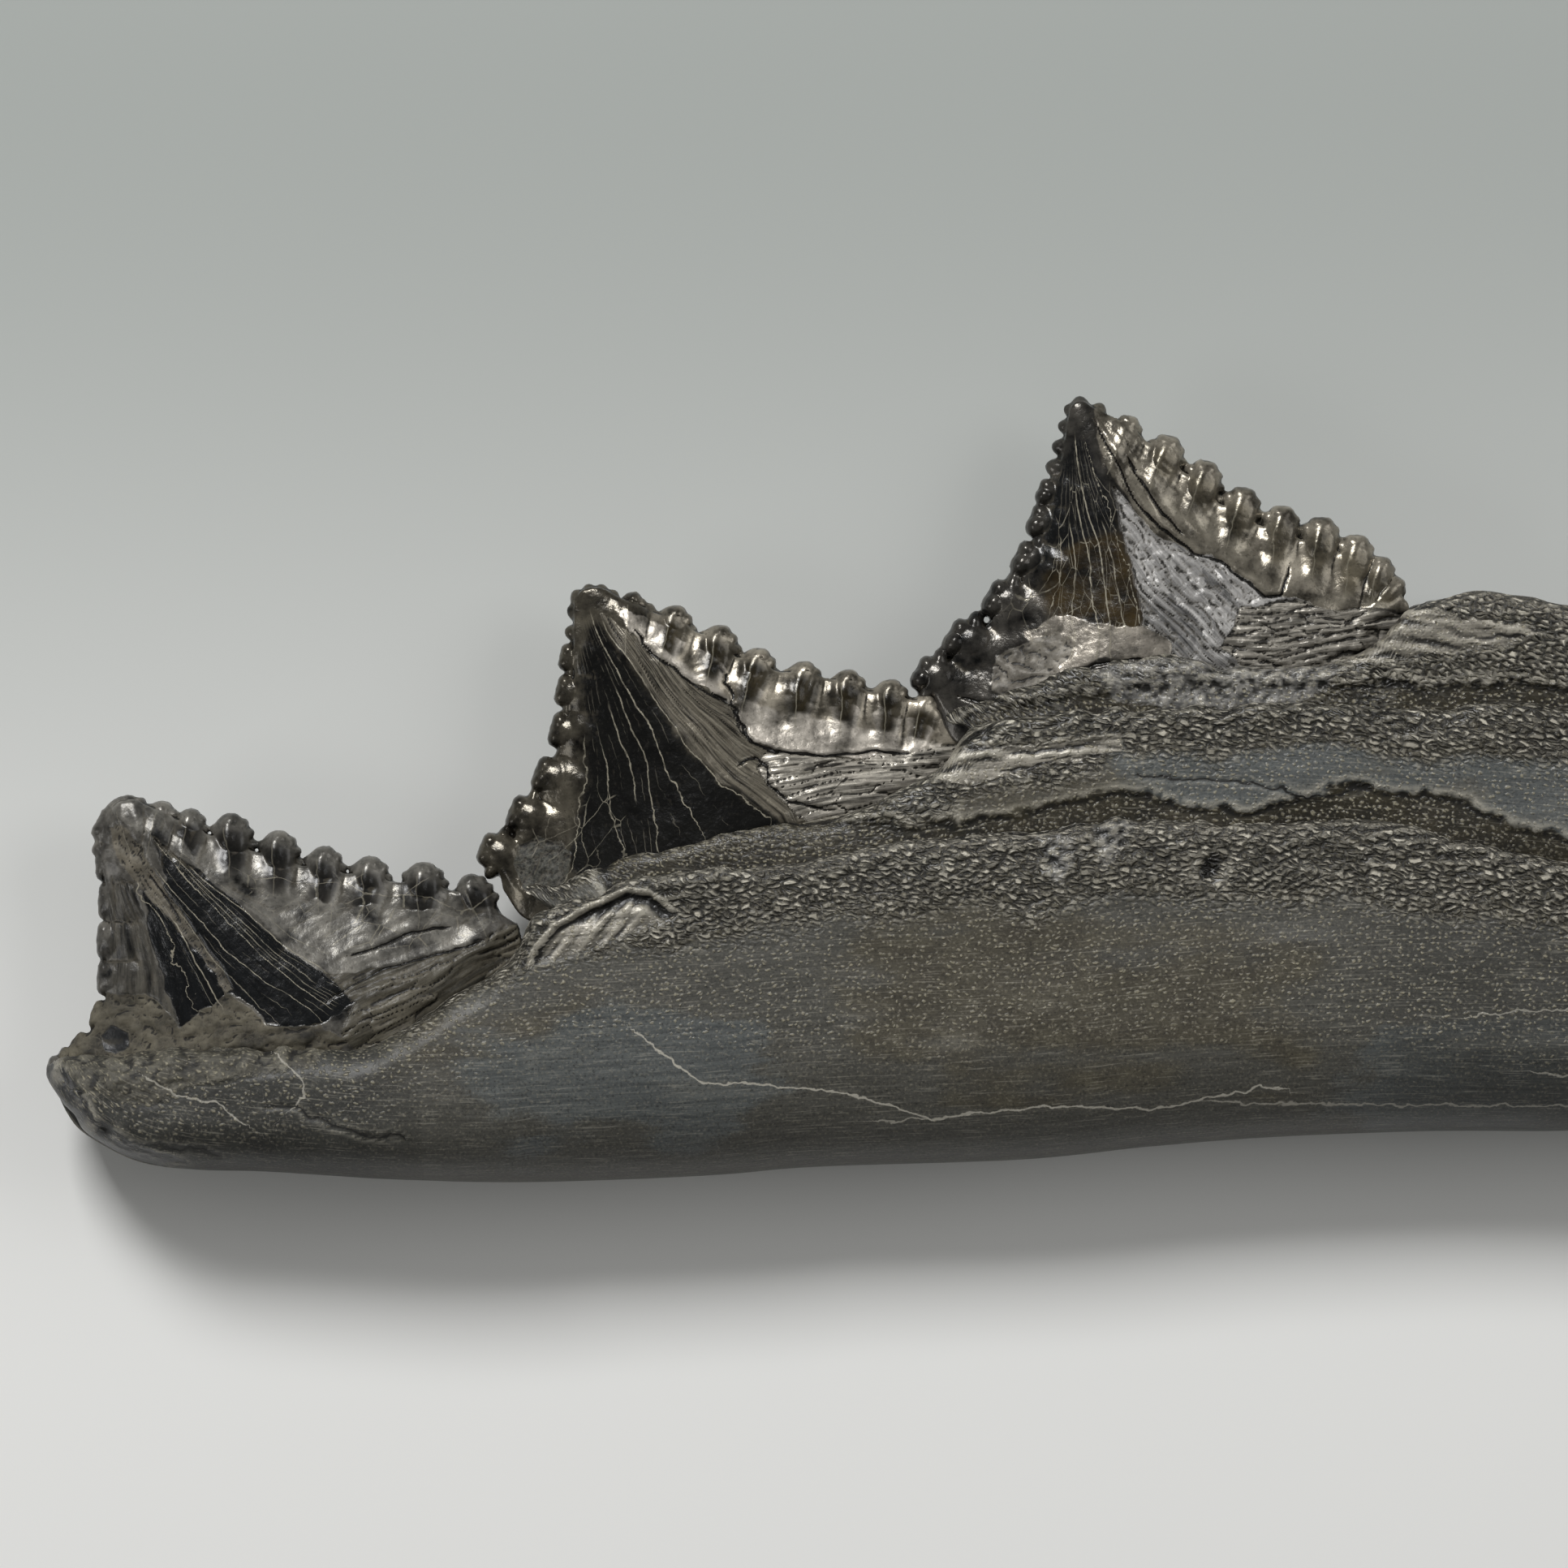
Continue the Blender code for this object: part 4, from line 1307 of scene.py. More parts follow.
@dataclass(frozen=True)
class Root:
    """A root: its keel, its rim and its half thickness over X, and the marks on its face."""

    keel: Line
    rim: Line
    half_thickness: Line
    trough: "Root | None" = None
    groove: Line = ()
    front_rows: int = 118
    back_rows: int = 58
    pitch: float = 0.27
    far_pitch: float = 0.55
    far_from: float = 64.0
    fine_part: float = 0.62
    wrinkle_depth: Line = ((-70.0, 7.0), (110.0, 7.0))
    recess: Line = ()
    keel_rounding: float = 0.42
    keel_power: float = 2.2
    lip: Line = ((-70.0, 0.9), (110.0, 0.9))

    def sections(self, x: Array) -> tuple[Array, Array, Array]:
        """Lofts the root's closed cross-sections.

        Args:
            x: the stations along the bar, in millimetres.

        Returns:
            Points by station and place round the section, the distance below the rim along the
            face, and 1 on the front, -1 on the back and 0 on top.
        """
        # The keel is round, the walls lean in a little, and the lip at the rim is rounded off.
        low, high = read_curve(self.keel, x), read_curve(self.rim, x)
        level = np.column_stack([x, x * 0.0])
        high = high + 0.30 * swell(level, 1.7, 5) + 0.22 * swell(level, 5.0, 6)
        high = np.maximum(high, low + 0.8)
        widest = read_curve(self.half_thickness, x)
        step = np.linspace(0.0, 1.0, 260)[None, :] ** 1.7
        y = low[:, None] + (high - low)[:, None] * step
        below = 1.0 - np.minimum(step / self.keel_rounding, 1.0)
        above = np.maximum(step - self.keel_rounding, 0.0) / (1.0 - self.keel_rounding)
        bulge = (1.0 - below**self.keel_power) ** (1.0 / self.keel_power)
        half = widest[:, None] * (bulge - 0.05 * above**2)
        lip = np.minimum(read_curve(self.lip, x), 0.3 * (high - low))[:, None]
        near = np.maximum(lip - (high[:, None] - y), 0.0)
        half = half - (lip - np.sqrt(np.maximum(lip**2 - near**2, 0.0)))
        # Points stand closer together near the rim, where the wrinkles are.
        rows, gaps, sides = [], [], []
        for side, count, fine in ((1.0, self.front_rows, 0.36), (-1.0, self.back_rows, 0.62)):
            q = np.linspace(0.0, 1.0, 400)
            density = 1.0 / (1.0 - (1.0 - fine) * eased(q, self.fine_part - 0.12, self.fine_part))
            reached = np.concatenate([[0.0], np.cumsum(0.5 * (density[1:] + density[:-1]))])
            parts = np.interp(np.linspace(0.0, reached[-1], count + 1), reached, q)
            place, gap = np.empty((len(x), count + 1, 3)), np.empty((len(x), count + 1))
            for k in range(len(x)):
                run = np.concatenate([[0.0], np.cumsum(np.hypot(np.diff(y[k]), np.diff(half[k])))])
                wanted = parts * run[-1]
                place[k, :, 1] = np.interp(wanted, run, y[k])
                place[k, :, 2] = MIDDLE_PLANE + side * np.interp(wanted, run, half[k])
                gap[k] = run[-1] - wanted
            place[:, :, 0] = x[:, None]
            if side < 0:
                place, gap = place[:, :0:-1], gap[:, :0:-1]
            rows.append(place)
            gaps.append(gap)
            sides.append(np.full(gap.shape, side))
        inner = self.trough_points(x, high, rows[0][:, -1, 2] - MIDDLE_PLANE)
        rows.insert(1, inner)
        for values in (gaps, sides):
            values.insert(1, np.zeros(inner.shape[:2]))
        return tuple(np.concatenate(values, axis=1) for values in (rows, gaps, sides))

    def trough_points(self, x: Array, high: Array, wall: Array) -> Array:
        """The upper side of a root: the trough that the next root lies in, or a flat top.

        Args:
            x: the stations along the bar.
            high: the height of the rim there.
            wall: half the thickness at the rim.

        Returns:
            Points by station, from the front wall over the floor to the back wall.
        """
        floor = high - 0.25
        inner = 0.8 * wall
        if self.trough:
            inside = (x > self.trough.keel[0][0]) & (x < self.trough.keel[-1][0])
            deep = np.minimum(floor, read_curve(self.trough.keel, x) - 0.3)
            wide = np.minimum(read_curve(self.trough.half_thickness, x) + 0.3, wall - 0.2)
            floor, inner = np.where(inside, deep, floor), np.where(inside, wide, inner)
        if self.groove:
            floor = high - 0.25 - read_curve(self.groove, x)
        shape = ((1.0, 0.0), (0.97, 0.12), (0.95, 0.5), (0.85, 0.8), (0.5, 0.97), (0.0, 1.0))
        shape = (*shape, *[(-a, b) for a, b in shape[-2::-1]])
        made = np.empty((len(x), len(shape), 3))
        for k, (aside, down) in enumerate(shape):
            made[:, k, 0] = x
            made[:, k, 1] = high + (floor - high) * down
            made[:, k, 2] = MIDDLE_PLANE + inner * aside
        return made

    def relief(self, flat: Array, gap: Array, rise: Array, side: Array, seed: int) -> dict[str, Array]:
        """The wrinkles, lumps and hollows of a root's face.

        Args:
            flat: rows of x, y and z in millimetres.
            gap: distance below the rim along the face.
            rise: distance above the keel along the face.
            side: 1 on the front, -1 on the back, 0 on top.
            seed: another seed gives other wrinkles.

        Returns:
            Arrays by name: height in millimetres, and where the face is wrinkled and recessed.
        """
        x = flat[:, 0] + ROOT_BACK_SHIFT * (side < 0)
        place = np.column_stack([x, rise])
        warp = np.column_stack([swell(place, 2.4, seed), 0.6 * swell(place, 2.0, seed + 1)])
        depth = read_curve(self.wrinkle_depth, flat[:, 0])
        edge = gap + 1.6 * rough(place, 5.0, seed + 2)
        # Coarse wrinkles under the rim, and finer ones below them.
        coarse = eased(edge, depth * 0.75, depth * 0.35)
        fine = eased(edge, depth + 1.6, depth - 1.6) * (1.0 - coarse)
        crest = coarse * np.tanh(1.5 * worms(place + 0.5 * warp, 1.05, 0.40, seed + 10))
        crest += 0.6 * fine * np.tanh(1.5 * worms(place + 0.4 * warp, 0.68, 0.50, seed + 11))
        crest *= 0.75 + 0.35 * swell(place, (5.0, 2.5), seed + 12)
        ragged = flat[:, :2] + 0.8 * drift(flat, (2.2, 1.8), seed + 13)
        recessed = within(ragged, self.recess, 0.5)
        height = 0.06 * crest * (1.0 - 0.4 * recessed)
        height += 0.24 * swell(flat, (7.0, 3.6, 9.0), seed + 3) * eased(gap, 40.0, 6.0)
        height += 0.17 * rough(flat, (2.6, 1.2, 2.6), seed + 4) * (coarse + 0.5 * fine)
        height -= 0.4 * recessed
        return {"height": height, "wrinkled": coarse + fine, "recessed": recessed}

    def build(self, marks: "RootMarks", seed: int) -> Mesh:
        """Makes the root's mesh, with what its finish reads.

        Args:
            marks: where the face is grainy, blue, olive, scarred or cracked.
            seed: another seed gives other wrinkles.

        Returns:
            The mesh, in metres in the jaw's frame.
        """
        start, end = self.keel[0][0], self.keel[-1][0]
        near = np.arange(start, self.far_from, self.pitch)
        x = np.concatenate([near, np.arange(self.far_from, end, self.far_pitch)])
        x = np.append(x[x < end - 0.2], end)
        grid, gap, side = self.sections(x)
        grid[..., 2] = np.maximum(grid[..., 2], 0.0)
        ring = grid.shape[1]
        along = np.gradient(grid, axis=0)
        round_it = np.roll(grid, -1, axis=1) - np.roll(grid, 1, axis=1)
        normal = np.cross(along, round_it)
        normal /= np.maximum(np.linalg.norm(normal, axis=-1, keepdims=True), 1e-9)
        flat = grid.reshape(-1, 3)
        brim = grid[:, self.front_rows, None, 2]
        rise = np.where(side > 0, gap[:, :1], gap[:, -1:]) - gap
        rise = rise + np.where(side == 0, brim - grid[..., 2], 0.0)
        gap, rise, side, normal = gap.ravel(), rise.ravel(), side.ravel(), normal.reshape(-1, 3)
        made = self.relief(flat, gap, rise, side, seed)
        zones = marks.carve(flat, side, made, seed)
        height = made["height"] * np.where(side == 0, 0.3, 1.0)
        # The back is pressed flat, so its relief only goes inwards.
        on_back = (side < 0) & (flat[:, 2] < 1e-6)
        height = np.where(on_back, np.minimum(-height - 0.12, 0.0), height)
        # The far end is broken off raggedly.
        last = eased(flat[:, 0], end - 2.6, end)
        points = flat + normal * height[:, None]
        points[:, 0] -= last * 1.5 * np.abs(rough(flat, (3.0, 2.6, 2.6), seed + 6))
        points[:, 2] = np.maximum(points[:, 2], 0.0)
        number = np.arange(len(points)).reshape(len(x), ring)
        nxt = np.roll(number, -1, axis=1)
        quads = np.stack([number[:-1], nxt[:-1], nxt[1:], number[1:]], axis=-1).reshape(-1, 4)
        mesh = make_mesh("root", points, quads)
        edges = read_rows(mesh, "edges")
        # How far a place stands proud of the relief around it: the finish paints a highlight on what stands
        # proud and shade in the hollows.
        relief = np.zeros((len(points), 1))
        for times, span in ((3, 0.05), (20, 0.16)):
            relief += (height[:, None] - relaxed(height[:, None], edges, times)) / span
        spare = self.close_ends(mesh, number[0], number[-1], seed)
        broken = read_rows(mesh, "vertices")[len(points):]
        zones = [np.concatenate([values, np.repeat(0.3 * values[-1:], spare, axis=0)]) for values in zones]
        flat = np.concatenate([flat, broken])
        gap = np.concatenate([gap, np.full(spare, 4.0)])
        rise = np.concatenate([rise, broken[:, 1] - self.keel[-1][1] + 2.0])
        side = np.concatenate([side, np.zeros(spare)])
        relief = np.concatenate([relief[:, 0], 1.5 * rough(broken, 1.2, seed + 63)])
        wrinkled, recessed, open_gap, extra = zones
        open_gap[len(points):] = FAR
        grainy = marks.grainy(flat, gap, wrinkled)
        tints = marks.tints(flat, seed)
        tints[len(points):, 2] = 0.6 + 0.4 * rough(broken, 1.5, seed + 64)
        beyond = ROOT_BACK_SHIFT * ((side < 0) & (flat[:, 0] > start) & (flat[:, 0] < end))
        store(mesh, "shape", np.column_stack([relief, open_gap, 0.0 * gap]))
        store(mesh, "lay", np.column_stack([flat[:, 0] + beyond, rise, flat[:, 2]]))
        store(mesh, "grains", np.column_stack([wrinkled, grainy, recessed]))
        store(mesh, "tints", tints)
        store(mesh, "extra", extra)
        tone = plates(np.column_stack([flat[:, 0] / 2.4, flat[:, 1] / 0.7]), seed + 61)[2]
        ridge = eased(gap, 3.0, 0.8) * (side > 0) * read_curve(marks.ridge, flat[:, 0])
        shade = read_curve(marks.shade, flat[:, 0]) * (0.75 + 0.25 * rough(flat, 4.0, seed + 62))
        store(mesh, "spots", np.column_stack([ridge, shade, 0.30 + 0.40 * tone]))
        store(mesh, "cracks", marks.cracks(flat, side))
        put_points(mesh, placed(read_rows(mesh, "vertices")))
        return mesh

    def close_ends(self, mesh: Mesh, first: Array, last: Array, seed: int) -> int:
        """Closes both ends of the loft, the far one as a rough break.

        Args:
            mesh: the open loft, in millimetres.
            first: vertex numbers of the first section.
            last: vertex numbers of the last one.
            seed: another seed gives another break.

        Returns:
            How many vertices it added.
        """
        form = bmesh.new()
        form.from_mesh(mesh)
        form.verts.ensure_lookup_table()
        before = len(form.verts)
        for loop in (first, last[::-1]):
            face = form.faces.new([form.verts[k] for k in loop])
            made = bmesh.ops.triangulate(form, faces=[face], ngon_method="EAR_CLIP")
            if loop is not first:
                rim = {form.verts[k] for k in last}
                inner = [e for e in made["edges"] if rim.issuperset(e.verts) and len(e.link_faces) == 2]
                bmesh.ops.subdivide_edges(form, edges=inner, cuts=3, use_grid_fill=True)
        bmesh.ops.triangulate(form, faces=[f for f in form.faces if len(f.verts) > 4])
        form.verts.ensure_lookup_table()
        added = form.verts[before:]
        if added:
            places = np.array([v.co for v in added])
            push = 1.1 * np.abs(rough(places, 1.6, seed + 8)) + 0.2
            for vert, inward in zip(added, push):
                vert.co.x -= inward
        bmesh.ops.recalc_face_normals(form, faces=form.faces)
        form.to_mesh(mesh)
        form.free()
        return len(mesh.vertices) - before


@dataclass(frozen=True)
class Lump:
    """A nodule on a root, or a pit where its height is negative."""

    place: Point
    radius: float
    height: float


@dataclass(frozen=True)
class RootMarks:
    """What lies on a root's face: granules, tints, cracks, scars and broken plates, by drawn outlines."""

    grain_reach: Line = ((-70.0, 6.0), (110.0, 6.0))
    # Outlines of a painted reflection: blue-grey sheen on the smooth face.
    blue: tuple[Line, ...] = ()
    olive: tuple[Line, ...] = ()
    matrix: tuple[Line, ...] = ()
    plume: tuple[Line, ...] = ()
    plume_turn_deg: float = 0.0
    blobs: tuple[Line, ...] = ()
    dark: tuple[Line, ...] = ()
    lumps: tuple[Lump, ...] = ()
    cracks_by_strength: tuple[tuple[Line, ...], ...] = ()
    open_cracks: tuple[Line, ...] = ()
    scar_outline: Line = ()
    scar_arc: Line = ()
    ridge: Line = ((-70.0, 0.0), (110.0, 0.0))
    shade: Line = ((-70.0, 0.0), (110.0, 0.0))

    def grainy(self, flat: Array, gap: Array, wrinkled: Array) -> Array:
        """Where pale granules lie, from 0 to 1.

        Args:
            flat: rows of x, y and z in millimetres.
            gap: distance below the rim.
            wrinkled: where the face is wrinkled.

        Returns:
            One number for each row.
        """
        reach = read_curve(self.grain_reach, flat[:, 0]) + 2.4 * rough(flat, (9.0, 2.5, 9.0), 77)
        patchy = 0.75 + 0.25 * rough(flat, (4.0, 1.5, 4.0), 78)
        return np.maximum(eased(gap, reach + 5.0, reach - 3.0) * patchy, 0.15) * (1.0 - 0.6 * wrinkled)

    def covered(self, spots: Array, outlines: tuple[Line, ...], softness: float) -> Array:
        """How far spots lie in any of some outlines, from 0 to 1, with soft edges."""
        return np.max([within(spots, outline, softness) for outline in ((), *outlines)], axis=0)

    def tints(self, flat: Array, seed: int) -> Array:
        """Where the face has a painted blue-grey sheen, is olive-brown, or is covered with brown matrix.

        Args:
            flat: rows of x, y and z in millimetres.
            seed: another seed gives other ragged edges.

        Returns:
            Rows of three numbers from 0 to 1.
        """
        moves = drift(flat, ((7.0, 3.0, 7.0), (7.0, 2.0, 7.0)), seed + 41)
        kinds = ((self.blue, 4.0, 5.0), (self.olive, 4.5, 6.0), (self.matrix, 0.8, 1.2))
        return np.column_stack([
            self.covered(flat[:, :2] + reach * moves, outlines, soft) for outlines, soft, reach in kinds
        ])

    def nearest(self, spots: Array, lines: tuple[Line, ...]) -> Array:
        """Signed distances to the nearest of some lines.

        Args:
            spots: rows of x and y in millimetres.
            lines: the lines' corners.

        Returns:
            One distance for each row, in millimetres.
        """
        found = np.full(len(spots), FAR)
        for line in lines:
            signed = to_line(spots, line)[1]
            found = np.where(np.abs(signed) < np.abs(found), signed, found)
        return found

    def cracks(self, flat: Array, side: Array) -> Array:
        """Signed distances to the pale cracks of the front, by their strength.

        Args:
            flat: rows of x, y and z in millimetres.
            side: 1 on the front, -1 on the back, 0 on top.

        Returns:
            Rows of three distances in millimetres, far off where there is no crack.
        """
        groups = (*self.cracks_by_strength, (), (), ())[:3]
        gaps = np.column_stack([self.nearest(flat[:, :2], lines) for lines in groups])
        return np.where(side[:, None] > 0, gaps, FAR)

    def carve(self, flat: Array, side: Array, made: dict[str, Array], seed: int) -> list[Array]:
        """Adds matrix, plates, blobs, nodules, open cracks and the scar of a lost flake to the front.

        Args:
            flat: rows of x, y and z in millimetres.
            side: 1 on the front, -1 on the back, 0 on top.
            made: the face's relief, whose height is changed.
            seed: another seed gives other fine relief.

        Returns:
            Where the face is wrinkled, where it is recessed, the distance to an open crack, and rows
            of three masks for plates, blobs and dark patches, the last with the painted shadow under a
            scar's raised edge.
        """
        front = (side > 0).astype(float)
        spots = flat[:, :2] + 0.5 * drift(flat, (1.5, 1.5), seed + 51)
        plume = front * self.covered(spots, self.plume, 0.35)
        blobs = front * self.covered(spots, self.blobs, 0.8)
        dark = front * self.covered(spots, self.dark, 0.25)
        matrix = self.tints(flat, seed)[:, 2]
        along = turned(spots, self.plume_turn_deg)
        fibres = swell(along, (4.0, 0.5), seed + 53) + 0.6 * swell(along, (2.4, 0.3), seed + 54)
        nearest, _, tone = plates(flat[:, :2] / 1.15, seed + 55)
        height, wrinkled = made["height"], made["wrinkled"]
        # The relief in millimetres: fibres, flat blobs, crumbs of rock and sunken dark patches.
        height = height * (1.0 - 0.8 * plume - 0.6 * matrix) + 0.16 * plume * fibres
        height += blobs * (0.08 * eased(nearest, 0.55, 0.0) * tone + 0.20 * rough(flat, 1.1, seed + 56))
        height += matrix * (0.60 * np.abs(rough(flat, (2.2, 1.5, 3.0), seed + 57, 4)) - 0.15)
        height -= 0.2 * dark
        for lump in self.lumps:
            offset = np.linalg.norm(flat[:, :2] - lump.place, axis=1)
            height += front * lump.height * np.exp(-((offset / lump.radius) ** 2))
        open_gap = np.full(len(flat), FAR)
        if self.open_cracks:
            moved = spots + 0.3 * np.column_stack([swell(flat, 0.9, seed + 58), swell(flat, 0.9, seed + 59)])
            open_gap = np.where(side > 0, self.nearest(moved, self.open_cracks), FAR)
            height -= 0.07 * eased(np.abs(open_gap), 0.4, 0.1)
        if self.scar_outline:
            # A flake has come off: a hollow with long grooves, deepest under its raised edge, where a
            # painted shadow darkens it.
            inside = within(flat[:, :2], self.scar_outline, 0.35) * front
            arc, signed, part = to_line(flat[:, :2], self.scar_arc)
            rim = np.exp(-((arc / 0.32) ** 2)) * front * (signed > -0.3)
            shade = inside * eased(np.abs(arc), 1.5, 0.3) * eased(part, 0.2, 0.6)
            along = np.column_stack([flat[:, :2] @ (0.62, 0.78), flat[:, :2] @ (-0.78, 0.62)])
            grooves = swell(along, (2.2, 0.42), 91)
            height = height * (1.0 - inside) + inside * (-0.25 + 0.12 * grooves) - 0.45 * shade + 0.28 * rim
            wrinkled = wrinkled * (1.0 - np.maximum(inside, rim))
            plume = np.maximum(plume, np.maximum(0.8 * inside * (1.0 - shade), rim))
            # Painted shadow under the raised edge, laid with the dark patches.
            dark = np.maximum(dark, 0.9 * shade)
        made["height"] = height
        keep = 1.0 - np.maximum(np.maximum(plume, matrix), np.maximum(dark, 0.8 * blobs))
        wrinkled = wrinkled * keep * (1.0 - 0.75 * made["recessed"])
        return [wrinkled, made["recessed"] * keep, open_gap, np.column_stack([plume, blobs, dark])]


@dataclass(frozen=True)
class Tooth:
    """One tooth of the row: a crown and a root, with their finishes."""

    name: str
    slot: str
    crown: Crown
    crown_finish: CrownFinish
    root: Root
    root_finish: RootFinish
    marks: RootMarks
    seed: int

    def build(self, serrations: SerrationTree, tree: Tree) -> None:
        """Builds the crown and the root, and adds both to the jaw.

        Args:
            serrations: the sizes of the beads.
            tree: the serrations' Geometry Nodes tree.
        """
        glaze = self.crown_finish.build()
        crown = self.crown.fused_mesh(serrations, tree, glaze, self.seed)
        self.crown.carve(crown, self.seed)
        stem = self.name.removesuffix("_tooth")
        add_piece(f"{stem}_crown", crown, glaze, self.name)
        root = self.root.build(self.marks, self.seed)
        add_piece(f"{stem}_root", root, self.root_finish.build(), self.name)


FRONT_LOBES = lobes("""
    -56.4,-2.7,145,2.4,1.9,1.6 -54.6,-1,105,2.3,1.9,1.7 -51.1,-1.4,80,2.4,1.4,1.6 -48.8,-2,85,2.4,1.3,1.6
    -45.7,-2.4,96 -41.7,-3.8,92 -37.9,-5.1,90 -34.1,-5.9,88 -29.7,-6.4,90,2.7,1.7,1.8
    -26.2,-7.5,112,2.5,1.4,1.7 -56.7,-6.3,178,2.2,1.9,1.6 -56.5,-9.7,180,2,1.7,1.6 -56.6,-12.9,180,2,1.7,1.6
    -56.6,-16,180,2,1.6,1.7 -57.1,-18.9,165,2.2,1.3,1.6 -58.7,-21.2,150,2.2,1.3,1.8
    -60.7,-23.4,175,2.2,1.2,1.8
""")
MIDDLE_LOBES = lobes("""
    -17.3,16,120,1.6,0.9,1.2 -16.2,16.5,105,1.6,0.9,1.2 -15,16.5,85,1.6,0.9,1.2 -13.9,16,65,1.6,0.9,1.2
    -12.5,15.8,88,2.6,1.2,1.5 -10.9,14.9,70,1.7,0.8,1.2 -8.9,14.7,80 -5.2,13.1,80 -2,11.2,78 1.6,10.1,86
    5.2,9.4,88 8.7,8.6,88 11.7,7.4,80,2.2,1.3,1.6 -17.9,14.4,165,1.7,1,1.1 -18.1,12.6,170,1.7,0.9,1.1
    -18.5,10.5,172,2.1,1.2,1.3 -18.8,7.8,170,2.3,1.4,1.5 -19.3,4.6,168,2.6,1.6,1.7 -20.6,1,163,2.7,1.6,1.8
    -22.7,-2.2,163,2.7,1.6,1.8 -25.1,-5.2,163,2.6,1.5,1.8
""")
REAR_LOBES = lobes("""
    24.3,32,95,1.7,1,1.2 26.2,31.4,65,1.7,0.9,1.1 28.6,30.3,72,2.4,1.3,1.4 31.9,28.7,72 35,26.6,72
    38.1,24.4,74 41.2,22.9,80 44.4,22,82 47.3,20.5,80 49.4,18.7,75,2.3,1.2,1.6 50.8,16.9,50,2,1.1,1.6
    23,31,160,1.5,0.8,1 22.5,29.6,165,1.5,0.8,1 22,27.9,168,1.7,0.9,1.1 21.5,26.2,168,1.9,1,1.2
    20.9,24.2,168,2.1,1.1,1.4 20.2,21.9,166,2.4,1.4,1.6 19,18.8,163,2.6,1.5,1.7 16.7,15.6,160,2.7,1.6,1.8
    13.5,12.4,158,2.7,1.6,1.8 10.8,9.4,160,2.5,1.5,1.8
""")


# Brown rock that sticks to the crown, rough and matt, and the dark bottom of a pit.
MATRIX = Layer("wear", 2, "#1d1b16", "#5c574a", 0.75, 0.0, 0.14)
PIT = Layer("spots", 0, "#0d0e0f", "#1b1c1e", 0.4, 0.0, 0.02)


